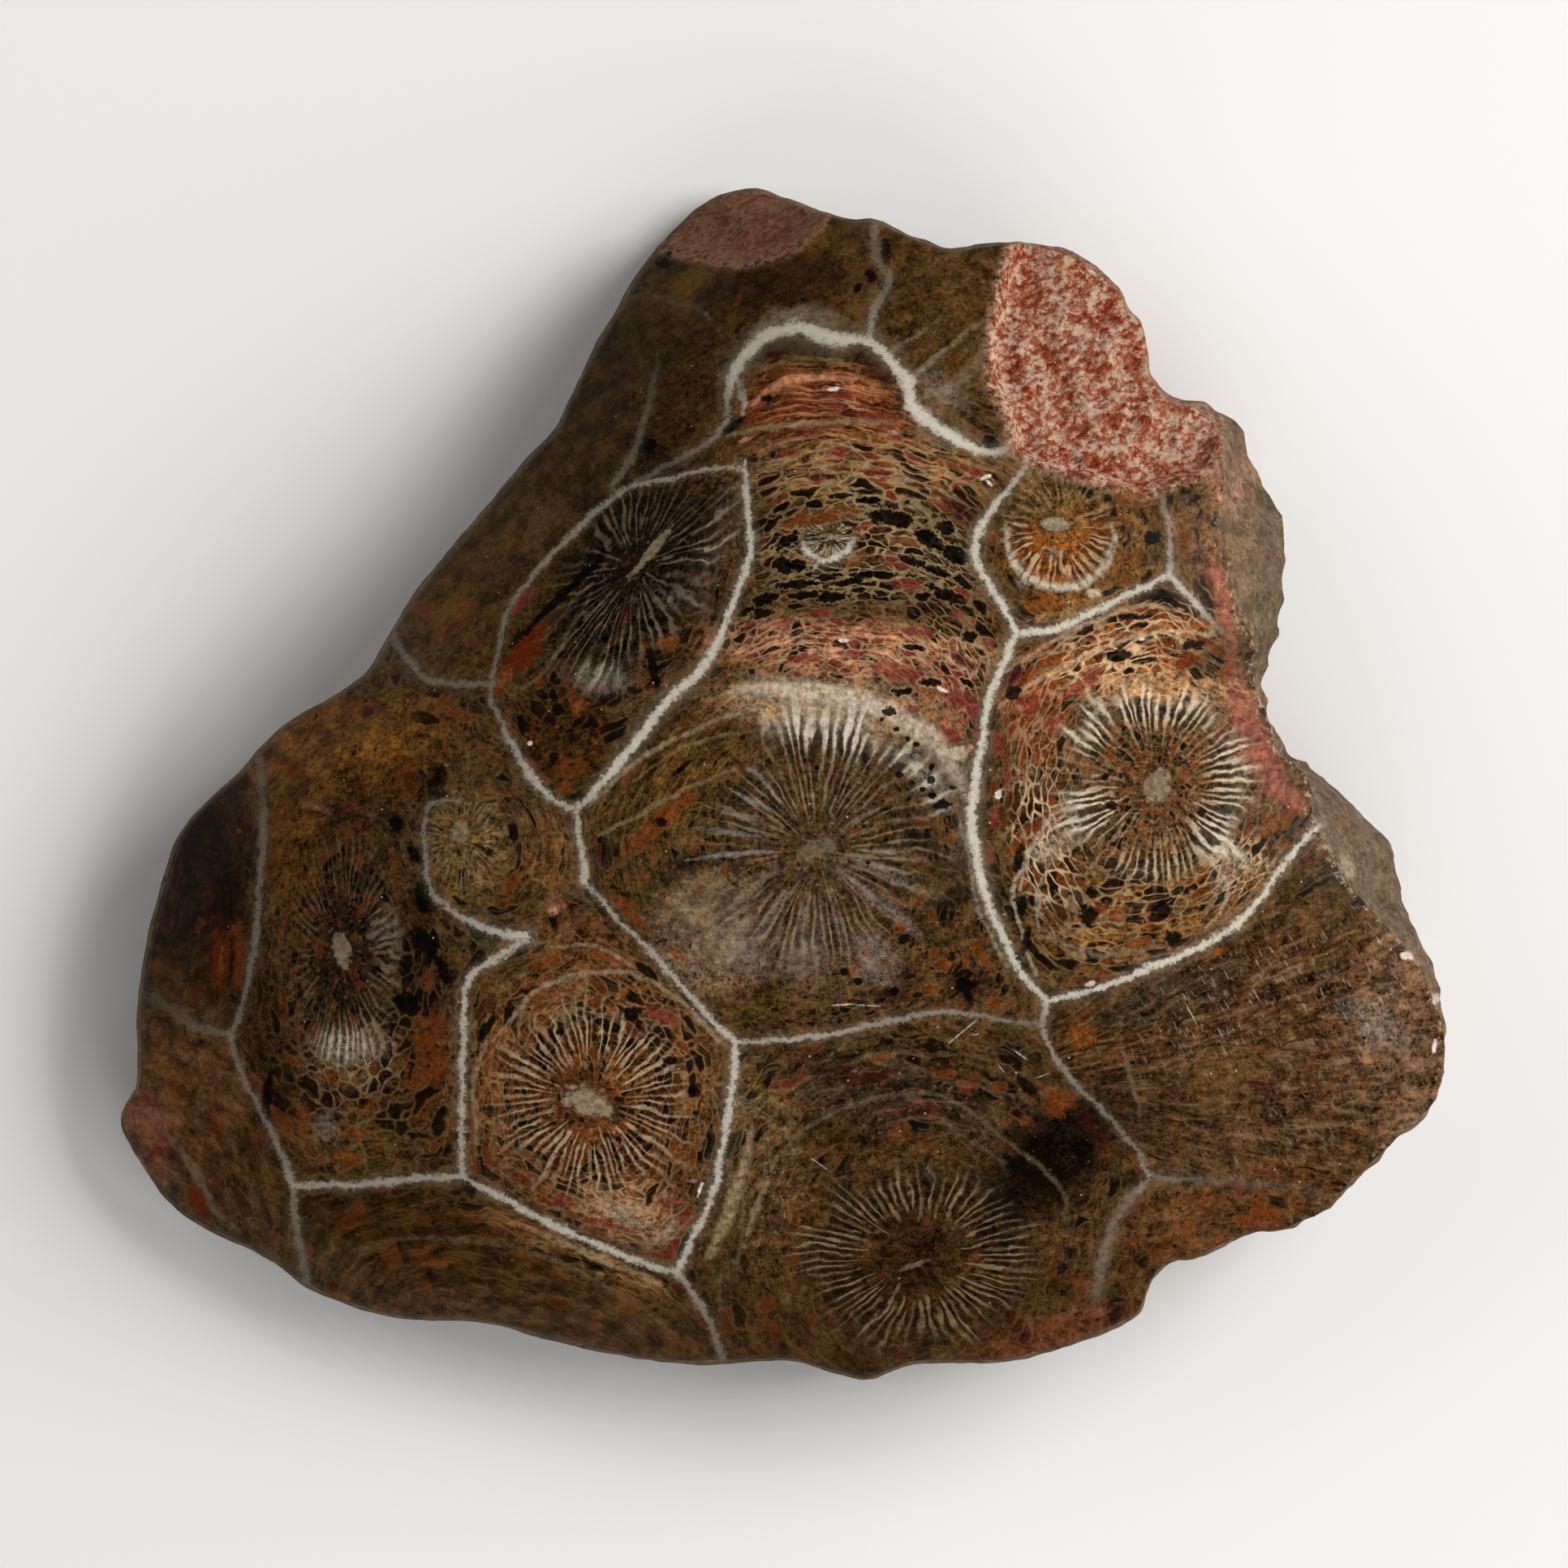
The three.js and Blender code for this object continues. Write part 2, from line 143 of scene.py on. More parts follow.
# The cell walls: half widths and brightness, each spread evenly along the wall, then its points.
WALLS = {
    "long wall": (
        (0.17, 0.18, 0.22, 0.33, 0.32, 0.16),
        (0.75, 0.85, 1.0, 1.0, 1.0, 0.75),
        [(-2.2, 17.8), (-2.1, 16), (-1.9, 14), (-2.0, 12.2), (-2.8, 10), (-3.8, 7.6),
         (-4.8, 6), (-6.5, 4.5), (-8, 2.4), (-9.5, 0.7), (-10.8, -0.8), (-11.4, -1.3)],
    ),
    "arch": (
        (0.2, 0.36, 0.42, 0.56, 0.64, 0.34, 0.4, 0.6, 0.52, 0.36, 0.22),
        (0.4, 0.8, 0.85, 0.85, 0.9, 0.85, 0.9, 1.0, 1.0, 0.95, 0.6),
        [(-3.1, 20.3), (-3.1, 21.4), (-2.8, 22.5), (-2.1, 23.7), (-1.1, 24.7), (0.9, 25.2),
         (2.7, 24.6), (4.5, 24.5), (6.0, 23.3), (6.9, 21.9), (7.1, 20.8), (8.7, 19.5),
         (10.4, 18.5), (11.7, 18.3), (12.5, 18.7)],
    ),
    "arch foot": (
        (0.15, 0.15, 0.12),
        (0.5, 0.35, 0.3),
        [(-3.0, 20.3), (-4, 19), (-6, 17.8), (-8.5, 16.5)],
    ),
    "upper left rim": (
        (0.1, 0.1, 0.09, 0.08, 0.08),
        (0.6, 0.6, 0.6, 0.45, 0.4),
        [(-2.3, 17.5), (-4.5, 17.3), (-7, 16.7), (-8.5, 16.4), (-10, 15.4), (-11.5, 14),
         (-13, 12.5), (-14.3, 11), (-15.2, 9.4), (-15.8, 7.5), (-16.1, 5.6), (-16.1, 4.5)],
    ),
    "upper left foot": (
        (0.12, 0.2, 0.2, 0.15),
        (0.4, 0.65, 0.8, 0.7),
        [(-16.1, 4.5), (-15.4, 3), (-14.4, 1.2), (-13.2, -0.4), (-12.2, -1.1), (-11.4, -1.3)],
    ),
    "short wall": (
        (0.16, 0.2, 0.24),
        (0.7, 0.75, 0.8),
        [(-11.4, -1.3), (-11.4, -2.5), (-11.1, -4), (-11, -5.5)],
    ),
    "hexagon upper right": (
        (0.15, 0.12, 0.15, 0.18),
        (0.6, 0.65, 0.75, 0.8),
        [(-11, -5.5), (-10.2, -6.3), (-8.8, -7.8), (-7, -9.6), (-5.2, -11.6), (-3.6, -13.4),
         (-2.6, -14.2)],
    ),
    "centre foot": (
        (0.12, 0.16, 0.14, 0.13, 0.12),
        (0.65, 0.7, 0.55, 0.5, 0.35),
        [(-2.6, -14.2), (0, -14.1), (3, -13.7), (6, -13), (8.5, -12.6), (10.5, -12.7),
         (12.5, -13.1), (14.2, -13.2)],
    ),
    "link": ((0.2, 0.22), (0.5, 0.8), [(14.2, -13.2), (14.5, -12.0)]),
    "centre right": (
        (0.22, 0.24, 0.3, 0.36, 0.3, 0.22, 0.18),
        (0.95, 0.95, 1.0, 1.0, 1.0, 0.9, 0.85),
        [(12.9, 8.4), (12.2, 6.8), (11.3, 4.8), (11, 3), (10.6, 0.5), (10.4, -1.5),
         (10.5, -3.5), (11, -5.8), (12, -8.2), (13, -10.3), (14.5, -12)],
    ),
    "small left": (
        (0.12, 0.22, 0.27, 0.24, 0.22),
        (0.6, 0.8, 0.9, 0.9, 0.95),
        [(13.4, 17.6), (12, 15.8), (11, 14.4), (10.5, 13), (10.8, 11.8), (11.8, 10.2),
         (12.9, 8.4)],
    ),
    "small foot": (
        (0.22, 0.24, 0.2, 0.16),
        (0.95, 1.0, 0.9, 0.8),
        [(12.9, 8.4), (14.8, 8.5), (16.5, 9.2), (18.5, 10.2), (20, 10.9), (21.2, 11.6)],
    ),
    "small right": (
        (0.15, 0.13, 0.12),
        (0.6, 0.5, 0.3),
        [(21.2, 11.6), (21.3, 13), (21.1, 14.8), (20.8, 15.8)],
    ),
    "right top": (
        (0.2, 0.18, 0.12),
        (0.8, 0.75, 0.2),
        [(21.2, 11.6), (22.3, 10.4), (23.6, 9), (24.6, 8)],
    ),
    "right foot": (
        (0.17, 0.19, 0.22, 0.19, 0.15),
        (0.85, 0.95, 1.0, 0.9, 0.85),
        [(14.5, -12), (16, -11.6), (18, -11), (20, -10.2), (22, -9.4), (24.2, -8.2),
         (25.8, -6.8), (27.2, -5), (28.4, -3.4), (29.7, -2.2)],
    ),
    "lower right": (
        (0.12, 0.13, 0.12, 0.12),
        (0.55, 0.5, 0.4, 0.5),
        [(14.2, -13.2), (14.6, -14.6), (15.8, -16.2), (17.2, -17.6), (18.4, -19),
         (19.5, -20.3), (20.1, -21.7)],
    ),
    "lower right faint": (
        (0.15, 0.25, 0.3),
        (0.4, 0.2, 0.1),
        [(20.1, -21.7), (22, -21.8), (25, -22), (28, -22.3), (30, -22.6)],
    ),
    "bottom right faint": (
        (0.15, 0.25, 0.35, 0.35),
        (0.45, 0.25, 0.3, 0.1),
        [(20.1, -21.7), (18.9, -23.2), (18, -24.8), (17.4, -27), (17.2, -29.2)],
    ),
    "hexagon left": (
        (0.2, 0.18, 0.18, 0.16),
        (0.75, 0.85, 0.8, 0.75),
        [(-14, -8.4), (-15.2, -9.2), (-16.8, -10.2), (-17.6, -11.2), (-17.7, -14),
         (-17.8, -18), (-17.8, -21.7)],
    ),
    "hexagon foot": (
        (0.13, 0.17, 0.22, 0.2, 0.16),
        (0.75, 0.9, 1.0, 0.95, 0.8),
        [(-17.8, -21.7), (-15.5, -22.9), (-12.8, -24.4), (-9.5, -25.8), (-7.5, -26.6),
         (-5.9, -27)],
    ),
    "hexagon right": (
        (0.2, 0.25, 0.23, 0.2, 0.17),
        (0.85, 0.95, 0.95, 0.95, 0.9),
        [(-2.6, -14.2), (-2.9, -17), (-3.4, -20), (-3.9, -22.5), (-5, -25), (-5.9, -27)],
    ),
    "left foot": (
        (0.14, 0.18, 0.17, 0.15),
        (0.7, 0.75, 0.7, 0.75),
        [(-27.2, -22.2), (-24, -22.2), (-20, -21.8), (-17.8, -21.7)],
    ),
    "left lower": (
        (0.12, 0.12, 0.14),
        (0.45, 0.45, 0.65),
        [(-30.6, -13.9), (-30.2, -15.6), (-29, -18), (-27.8, -20.4), (-27.2, -22.2)],
    ),
    "left side": (
        (0.2, 0.16, 0.14, 0.14),
        (0.25, 0.4, 0.45, 0.45),
        [(-29, 1.4), (-28.8, -2), (-29, -5.5), (-29.3, -9), (-29.8, -11.8), (-30.6, -13.9)],
    ),
    "far left": (
        (0.2, 0.35, 0.45),
        (0.4, 0.25, 0.15),
        [(-30.6, -13.9), (-32.5, -13.4), (-34.5, -12.2), (-36.6, -11.4)],
    ),
    "far left foot": (
        (0.16, 0.2, 0.25),
        (0.55, 0.4, 0.3),
        [(-27.2, -22.2), (-27, -24.5), (-26.6, -27), (-26.3, -28.8)],
    ),
    "bud": (
        (0.12, 0.12, 0.15, 0.2, 0.3),
        (0.4, 0.5, 0.55, 0.7, 0.9),
        [(-17.6, -0.9), (-19.2, -1.0), (-19.7, -1.6), (-19.8, -3.5), (-19.6, -5.5),
         (-18.6, -6.8), (-16.8, -7.8), (-15, -8.3), (-14, -8.4)],
    ),
    "bottom wall": (
        (0.18, 0.14, 0.13),
        (0.7, 0.5, 0.4),
        [(-5.9, -27), (-4.8, -28.6), (-3.9, -30.3), (-3.2, -32.6)],
    ),
    "outer curve": (
        (0.3, 0.22, 0.2, 0.16),
        (0.3, 0.4, 0.4, 0.4),
        [(-21.9, 8.6), (-21, 7.2), (-19.8, 5.9), (-18, 5.5), (-16.1, 5.6)],
    ),
    "outer streak": (
        (0.15, 0.14, 0.12),
        (0.15, 0.3, 0.4),
        [(-7, 23.5), (-7.6, 20.5), (-8.4, 18.2), (-9.5, 16.4)],
    ),
    "top streak": (
        (0.16, 0.22, 0.24, 0.2),
        (0.6, 0.4, 0.3, 0.35),
        [(4.7, 24.5), (5, 26.2), (5.8, 27.8), (5.1, 29.2), (5, 30.8)],
    ),
    "tiny bud": (
        (0.06, 0.15, 0.18, 0.17, 0.13, 0.05),
        (0.6, 1.0, 1.0, 1.0, 0.95, 0.6),
        [(0.93, 13.4), (1.4, 12.67), (2.2, 12.3), (2.95, 12.5), (3.5, 12.9), (3.96, 13.6)],
    ),
}


def calice(at, ring, septa, span, net, follow, core, edge, turn=0.0):
    """What one cell looks like.

    at: its centre. ring, turn: half axes of its ring of septa, and their turn in degrees.
    septa: how many, and how strong. span: where septa begin, end and how softly, in rings.
    net: dissepiments across per radian and outwards per mm. follow: how far they follow the
    walls. core: x, y, half axes, turn and brightness. edge: walls and corners round it.
    """
    return dict(
        at=np.array(at), ring=ring, septa=septa, span=span, net=net, follow=follow, core=core,
        edge=edge, turn=np.radians(turn),
    )


# Tested in this order: a place belongs to the first cell whose edge holds it.
CELLS = {
    "tiny bud": calice(
        (2.45, 13.65), (1.4, 1.35), (24, 0.9), (0.25, 1.0, 0.15), (3.0, 2.0), 0.2,
        (2.35, 13.7, 0.35, 0.12, 10, 0.5),
        [(0.7, 14.3), (0.75, 13.2), (1.3, 12.5), (2.3, 12.1), (3.3, 12.4), (4.05, 13.3), (4.3, 14.2)],
    ),
    "centre": calice(
        (1.8, -3.6), (6.6, 7.8), (56, 1.0), (0.1, 1.02, 0.2), (13.0, 2.8), 0.3,
        (1.7, -3.7, 1.3, 0.6, 25, 0.3),
        ["long wall", "short wall", "hexagon upper right", "centre foot", "link",
         "centre right", "small left", "arch"],
    ),
    "upper left": calice(
        (-8.2, 12.0), (3.8, 7.4), (44, 0.9), (0.12, 1.05, 0.25), (5.5, 2.0), 0.6,
        (-7.2, 13.0, 2.0, 0.25, 51, 0.7),
        ["long wall", "upper left foot", "upper left rim"],
        turn=-32,
    ),
    "small": calice(
        (15.2, 14.1), (3.25, 3.3), (32, 0.85), (0.3, 1.03, 0.08), (3.4, 2.2), 0.4,
        (15.05, 14.3, 0.8, 0.4, 0, 0.9),
        ["small left", "small foot", "small right"],
    ),
    "right": calice(
        (20.5, -0.1), (5.0, 5.3), (56, 1.0), (0.3, 1.1, 0.12), (5.5, 2.3), 0.65,
        (20.6, -0.1, 0.75, 0.95, -10, 0.6),
        ["centre right", "right foot", (34, 4), (30, 10), "right top", "small foot"],
    ),
    "hexagon": calice(
        (-10.6, -17.4), (5.2, 5.2), (56, 1.0), (0.26, 1.03, 0.1), (5.0, 2.0), 0.75,
        (-10.8, -17.5, 1.25, 0.8, -20, 0.9),
        ["hexagon left", "hexagon foot", "hexagon right", "hexagon upper right"],
    ),
    "bud": calice(
        (-17.8, -3.0), (2.0, 2.8), (34, 0.8), (0.3, 1.15, 0.2), (3.4, 2.2), 0.4,
        (-17.9, -2.6, 0.45, 0.7, 10, 0.6),
        ["bud", "short wall", (-12.5, -0.9)],
    ),
    "left": calice(
        (-24.4, -9.2), (2.6, 4.9), (52, 0.9), (0.48, 1.3, 0.3), (5.0, 2.1), 0.6,
        (-24.4, -9.2, 0.5, 1.0, 8, 0.7),
        ["left side", "left lower", "left foot", "hexagon left", "bud", (-12.5, -0.9),
         "upper left foot", "outer curve", (-30, 10)],
    ),
    "far left": calice(
        (-33.5, -6.0), (3.0, 7.0), (24, 0.1), (0.2, 1.2, 0.3), (4.0, 1.0), 0.5,
        (-33.5, -6.0, 0.1, 0.1, 0, 0.0),
        ["left side", "far left", (-44, -11), (-44, 6)],
    ),
    "far left foot": calice(
        (-36.5, -24.0), (4.0, 6.0), (30, 0.0), (0.2, 1.6, 0.4), (8.0, 1.0), 0.4,
        (-36, -24, 0.1, 0.1, 0, 0.0),
        ["far left", "left lower", "far left foot", (-27, -40), (-46, -34), (-46, -11)],
    ),
    "bottom left": calice(
        (-15.5, -40.0), (6.0, 5.0), (40, 0.0), (0.2, 1.2, 0.3), (13.0, 1.8), 0.5,
        (-15, -40, 0.1, 0.1, 0, 0.0),
        ["far left foot", "left foot", "hexagon foot", "bottom wall", (-3, -46), (-27, -46)],
    ),
    "bottom": calice(
        (7.4, -26.1), (6.2, 4.7), (60, 0.85), (0.32, 1.04, 0.15), (8.0, 1.5), 0.35,
        (7.1, -26.6, 0.9, 0.16, 20, 0.35),
        ["bottom wall", "hexagon right", "centre foot", "lower right", "bottom right faint",
         (17, -46), (-3, -46)],
    ),
    "lower right": calice(
        (10.0, -17.0), (7.5, 6.5), (110, 0.0), (0.08, 1.6, 0.5), (75.0, 0.4), 0.0,
        (29, -14.5, 0.1, 0.1, 0, 0.0),
        ["link", "right foot", (46, -2), (46, -24), "lower right faint", "lower right"],
    ),
    "lower corner": calice(
        (27.0, -33.0), (4.5, 4.5), (44, 0.0), (0.3, 1.5, 0.3), (9.0, 1.1), 0.3,
        (27, -32, 0.1, 0.1, 0, 0.0),
        ["lower right faint", (46, -24), (30, -46), (17, -46), "bottom right faint"],
    ),
    "top left": calice(
        (-9.5, 24.0), (4.0, 5.0), (40, 0.0), (0.3, 1.4, 0.3), (4.0, 0.9), 0.5,
        (-9.5, 24, 0.1, 0.1, 0, 0.0),
        [(-16.1, 5.6), (-21.9, 8.6), (-46, 14), (-20, 46), (5, 46), "top streak", (2, 20),
         (-8, 14)],
    ),
    "top": calice(
        (6.8, 22.6), (3.6, 3.8), (26, 0.0), (0.0, 1.3, 0.5), (9.0, 0.6), 0.0,
        (8.6, 23.6, 0.1, 0.1, 0, 0.0),
        [(5, 46), "top streak", (4, 20), (13, 16.8), (22, 15.2), (40, 24), (30, 46)],
    ),
    "right strip": calice(
        (27.0, 13.0), (3.0, 5.0), (30, 0.0), (0.2, 1.4, 0.3), (3.0, 1.1), 0.4,
        (27, 13, 0.1, 0.1, 0, 0.0),
        [(-90, -90), (90, -90), (90, 90), (-90, 90)],
    ),
}

# Stains in the stone. Each kind: its colour, its strength, how strong the pale line round it is,
# how soft its edge is, then the stains as centre, half length, half width and turn in degrees.
STAINS = {
    "rust": ((104, 50, 17), 0.72, 0.25, 0.35, [
        (2.2, 14.7, 2.2, 0.35, 10), (9.0, 17.7, 1.2, 0.25, -20), (3.9, 12.3, 0.7, 0.25, 25),
        (-7.0, -2.2, 2.4, 0.45, 43), (5.4, -9.9, 0.5, 0.3, 0), (6.3, -7.8, 0.4, 0.3, 0),
        (8.7, -10, 0.35, 0.3, 0), (8.1, -11.3, 0.4, 0.3, 0), (10.9, -9.6, 0.9, 0.3, -55),
        (11.5, -12.1, 0.5, 0.3, 0), (7.6, -4.4, 0.3, 0.25, 0), (4, -2.6, 0.3, 0.25, 0),
        (-0.9, -1.7, 0.25, 0.2, 0), (-8.5, -7.1, 1.2, 0.3, -45), (13.7, -2.7, 1.8, 0.45, 43),
        (14.2, 6.4, 1.8, 0.4, 33), (20.9, 7.56, 1.4, 0.4, 8), (19.3, 8.3, 1.5, 0.25, 12),
        (19.6, -8.8, 0.6, 0.3, 0), (18.35, -7.2, 0.6, 0.4, 0), (19.3, 15.8, 1.0, 0.35, -12),
        (11.4, 13.6, 0.4, 0.3, 0), (16.4, 9.8, 0.5, 0.3, 0), (-7.5, 7.3, 0.9, 0.2, 100),
        (-12, -0.3, 0.5, 0.3, 0), (-17.1, -18.7, 0.9, 0.3, 90), (-17.1, -21.1, 0.5, 0.3, 90),
        (-19.3, -14.6, 1.6, 0.8, 95), (-19.6, -10.8, 0.6, 0.3, 90), (-21.5, -4.1, 0.4, 0.3, 90),
        (-23.5, -19.3, 0.5, 0.3, 0), (-26.6, -18.5, 0.8, 0.3, 95), (-30.1, -10.0, 1.3, 0.3, 88),
        (-30.3, -8.0, 0.4, 0.3, 0), (15.1, -17.6, 0.8, 0.7, 0), (8.9, -16, 0.5, 0.2, 0),
        (12.2, -18.65, 0.3, 0.25, 0), (11.75, -16.7, 0.5, 0.3, 0), (26.4, -23.9, 1.2, 0.4, 10),
        (5.3, -15.0, 0.6, 0.25, 5), (-14.6, -21.8, 0.5, 0.3, -30), (-6.0, -9.3, 0.5, 0.2, -45),
        (-13.2, -9.9, 1.0, 0.25, 20), (-9.4, -9.5, 1.2, 0.3, -15), (24.4, 6.0, 0.5, 0.35, 60),
    ]),
    "orange": ((122, 64, 20), 0.65, 0.0, 0.5, [
        (-15.2, 6.2, 1.0, 0.45, 54), (-31.2, -9.5, 1.1, 0.25, 90), (27.0, -2.24, 0.5, 0.45, 0),
        (26.5, -2.7, 0.4, 0.35, 0), (27.8, -3.4, 0.3, 0.3, 0), (13.9, 13.1, 1.0, 0.7, -50),
        (16.9, 13.4, 1.2, 0.7, 40), (-11.4, 4.2, 0.5, 0.4, 0), (-6.4, 7.8, 0.5, 0.35, 0),
        (14.6, 9.9, 1.0, 0.45, 0), (15.3, 11.6, 1.1, 0.35, 0), (16.4, -13.9, 0.8, 0.7, 0),
        (-24.2, -20.6, 0.7, 0.25, 0), (24.0, -9.2, 0.4, 0.2, 30), (-19.0, -26.5, 0.8, 0.15, 5),
    ]),
    "deep orange": ((92, 34, 6), 0.92, 0.1, 0.25, [
        (-14.3, 7.4, 2.5, 0.6, 54), (-31.4, -9.5, 1.6, 0.2, 88), (-30.8, -9.2, 1.4, 0.15, 88),
        (22.2, 6.8, 0.7, 0.4, 20),
        (-32.4, -23.2, 1.0, 0.4, -60), (17.3, -6.9, 0.5, 0.4, 0),
    ]),
    "crimson": ((112, 44, 36), 0.75, 0.2, 0.35, [
        (3, 18.3, 0.7, 0.25, 0), (6.1, 19.1, 0.4, 0.2, 0), (10.6, 17.2, 0.4, 0.25, 0),
        (6.7, 11, 1.0, 0.35, -10), (6.4, 12.2, 0.8, 0.35, -10), (2, 9.4, 0.65, 0.25, 0),
        (6.4, 6.2, 1.6, 0.45, -12), (7.1, 8.4, 0.9, 0.25, -10), (3.76, 7.2, 0.9, 0.2, 0),
        (9, 2.7, 0.8, 0.45, -20), (9.6, 4.7, 0.6, 0.5, 0), (10.5, 4.2, 0.6, 0.3, 90),
        (6.9, 4.1, 0.4, 0.25, 0), (11.2, 7.7, 0.4, 0.25, 0), (9.6, 9.2, 0.5, 0.4, 0),
        (16.6, 5.6, 1.2, 0.45, 25), (24.3, 2.4, 0.7, 0.4, -50), (13.5, 4.35, 0.6, 0.5, 0),
        (11.8, 2.4, 0.6, 0.3, 90),
        (11.6, -1.8, 0.6, 0.25, 90), (11.3, -4, 0.6, 0.25, 90), (-12.2, -23.1, 0.6, 0.4, 0),
        (-6.3, -23.1, 0.7, 0.35, 0), (-9.8, -24.1, 0.4, 0.3, 0), (-6.8, -12.8, 0.8, 0.3, -20),
        (-14.5, 10.2, 0.8, 0.3, 55), (1.0, 6.9, 1.0, 0.25, 5), (0.0, 8.9, 0.8, 0.2, 10),
        (-1.2, 21.2, 0.5, 0.2, 40), (2.7, 20.9, 0.7, 0.2, -8), (0.3, 18.2, 0.6, 0.2, 10),
        (14.9, 3.4, 0.5, 0.3, 40), (12.3, 0.6, 0.7, 0.2, 80), (-35.0, -17.8, 0.9, 0.2, -45),
    ]),
    "dark red": ((52, 16, 12), 0.8, 0.1, 0.35, [
        (0.8, 24.0, 1.6, 0.3, 10), (9.4, 15.3, 1.3, 0.3, -38), (4.6, -16.2, 2.2, 0.3, 8),
        (2.2, 16.9, 1.0, 0.2, 5), (8.3, 10.2, 0.9, 0.3, -20), (9.7, 6.9, 0.8, 0.3, -40),
        (12.6, 6.0, 0.9, 0.4, 40), (-8.9, 9.0, 0.9, 0.3, 60), (26.0, -16.6, 1.6, 0.5, -20),
    ]),
    "brown": ((62, 34, 14), 0.75, 0.3, 0.3, [
        (12.5, -1.1, 1.7, 0.5, 68), (15.2, -7.2, 0.9, 0.8, 0), (-30, -23.4, 0.9, 0.4, -60),
        (19.2, 4.0, 0.9, 0.6, 20), (-16.5, -12.4, 0.9, 0.4, 50),
    ]),
    "shadow": ((20, 12, 6), 0.75, 0.0, 0.7, [
        (-30.8, -6.0, 2.4, 0.8, 85), (-32.6, -3.4, 2.0, 1.0, 70), (10.2, -11.2, 0.9, 0.7, 0),
        (-20.2, -6.8, 1.2, 0.6, 110), (-7.6, 18.6, 0.8, 0.6, 20), (7.5, -3.1, 0.9, 0.6, -20),
        (8.8, -4.6, 0.9, 0.6, 0), (9.6, -6.0, 0.8, 0.5, 60), (-9.8, -3.8, 0.9, 0.5, 60),
        (-5.5, -4.4, 1.3, 0.5, 10), (5.6, -11.6, 1.2, 0.4, -10), (-6.4, -5.2, 1.0, 0.6, 0),
    ]),
    "lilac grey": ((134, 121, 108), 0.36, 0.0, 0.85, [
        (-2.4, -9.2, 1.6, 0.9, -30), (0.9, -9.4, 1.2, 1.4, 0), (4.9, -9.5, 0.9, 1.4, 20),
        (0.9, -8.0, 1.9, 0.3, 80), (-0.7, -7.4, 1.8, 0.28, 58), (3.0, -7.6, 1.6, 0.25, -75),
        (4.7, -6.1, 2.2, 0.3, -38), (5.9, -5.1, 2.2, 0.3, -25), (2.1, -8.3, 1.7, 0.2, -88),
        (-2.0, -6.0, 1.8, 0.25, 40), (6.3, -3.9, 1.5, 0.2, -8), (6.2, -7.0, 1.6, 0.25, -48),
        (-6.1, 10.2, 0.6, 0.4, 0), (9.0, 21.4, 1.2, 0.7, -40), (-21.9, -8.2, 0.6, 1.0, 0),
        (32.6, -13.4, 1.6, 0.9, -40),
        (-10.2, 5.8, 1.4, 0.7, -10), (13.3, 11.0, 0.4, 0.3, 0), (14.7, 12.7, 0.5, 0.4, 0),
        (-25.4, -19.1, 0.55, 0.7, 0), (-24.0, -14.6, 1.6, 0.7, 0), (24.4, -4.9, 0.5, 1.0, -30),
    ]),
    "cream": ((180, 162, 136), 0.8, 0.0, 0.5, [
        (9.6, 1.7, 0.6, 0.4, 0), (17.1, 10.5, 0.4, 0.25, 0),
        (31.1, -4.6, 0.8, 0.4, -60),
    ]),
    "faint cream": ((166, 146, 118), 0.5, 0.0, 0.8, [
        (-8.9, -23.6, 1.5, 0.6, -25), (15.0, -3.4, 1.2, 0.5, 35), (24.7, -3.9, 1.2, 0.6, -35),
        (-6.4, -24.6, 0.8, 0.4, 40),
    ]),
    "pink": ((150, 98, 78), 0.5, 0.0, 0.7, [
        (4.2, 5.6, 0.5, 0.3, 0), (32.4, -21.7, 1.2, 0.3, 40), (-35.1, -18.5, 1.2, 0.7, 0),
        (-26.1, -1.2, 0.8, 0.2, -15), (-1.3, 5.4, 0.9, 0.2, 10),
        (-12.6, -6.6, 0.5, 0.4, 0), (21.3, 13.9, 0.3, 0.8, 0), (-0.3, 21.8, 0.9, 0.2, 25),
    ]),
    "ochre": ((92, 66, 30), 0.6, 0.0, 0.75, [
        (-5, 28, 1.3, 0.6, 20), (9.2, 20.6, 0.9, 0.4, -35), (-3, -23.9, 0.8, 0.5, 60),
        (-22.5, 3.2, 2.2, 0.5, 15), (4.0, 27.0, 0.5, 1.2, 0), (-18.6, 9.5, 1.4, 0.7, 40),
        (-13.6, 14.4, 1.6, 0.6, 50), (24.9, -16.4, 2.4, 1.4, 15),
    ]),
}

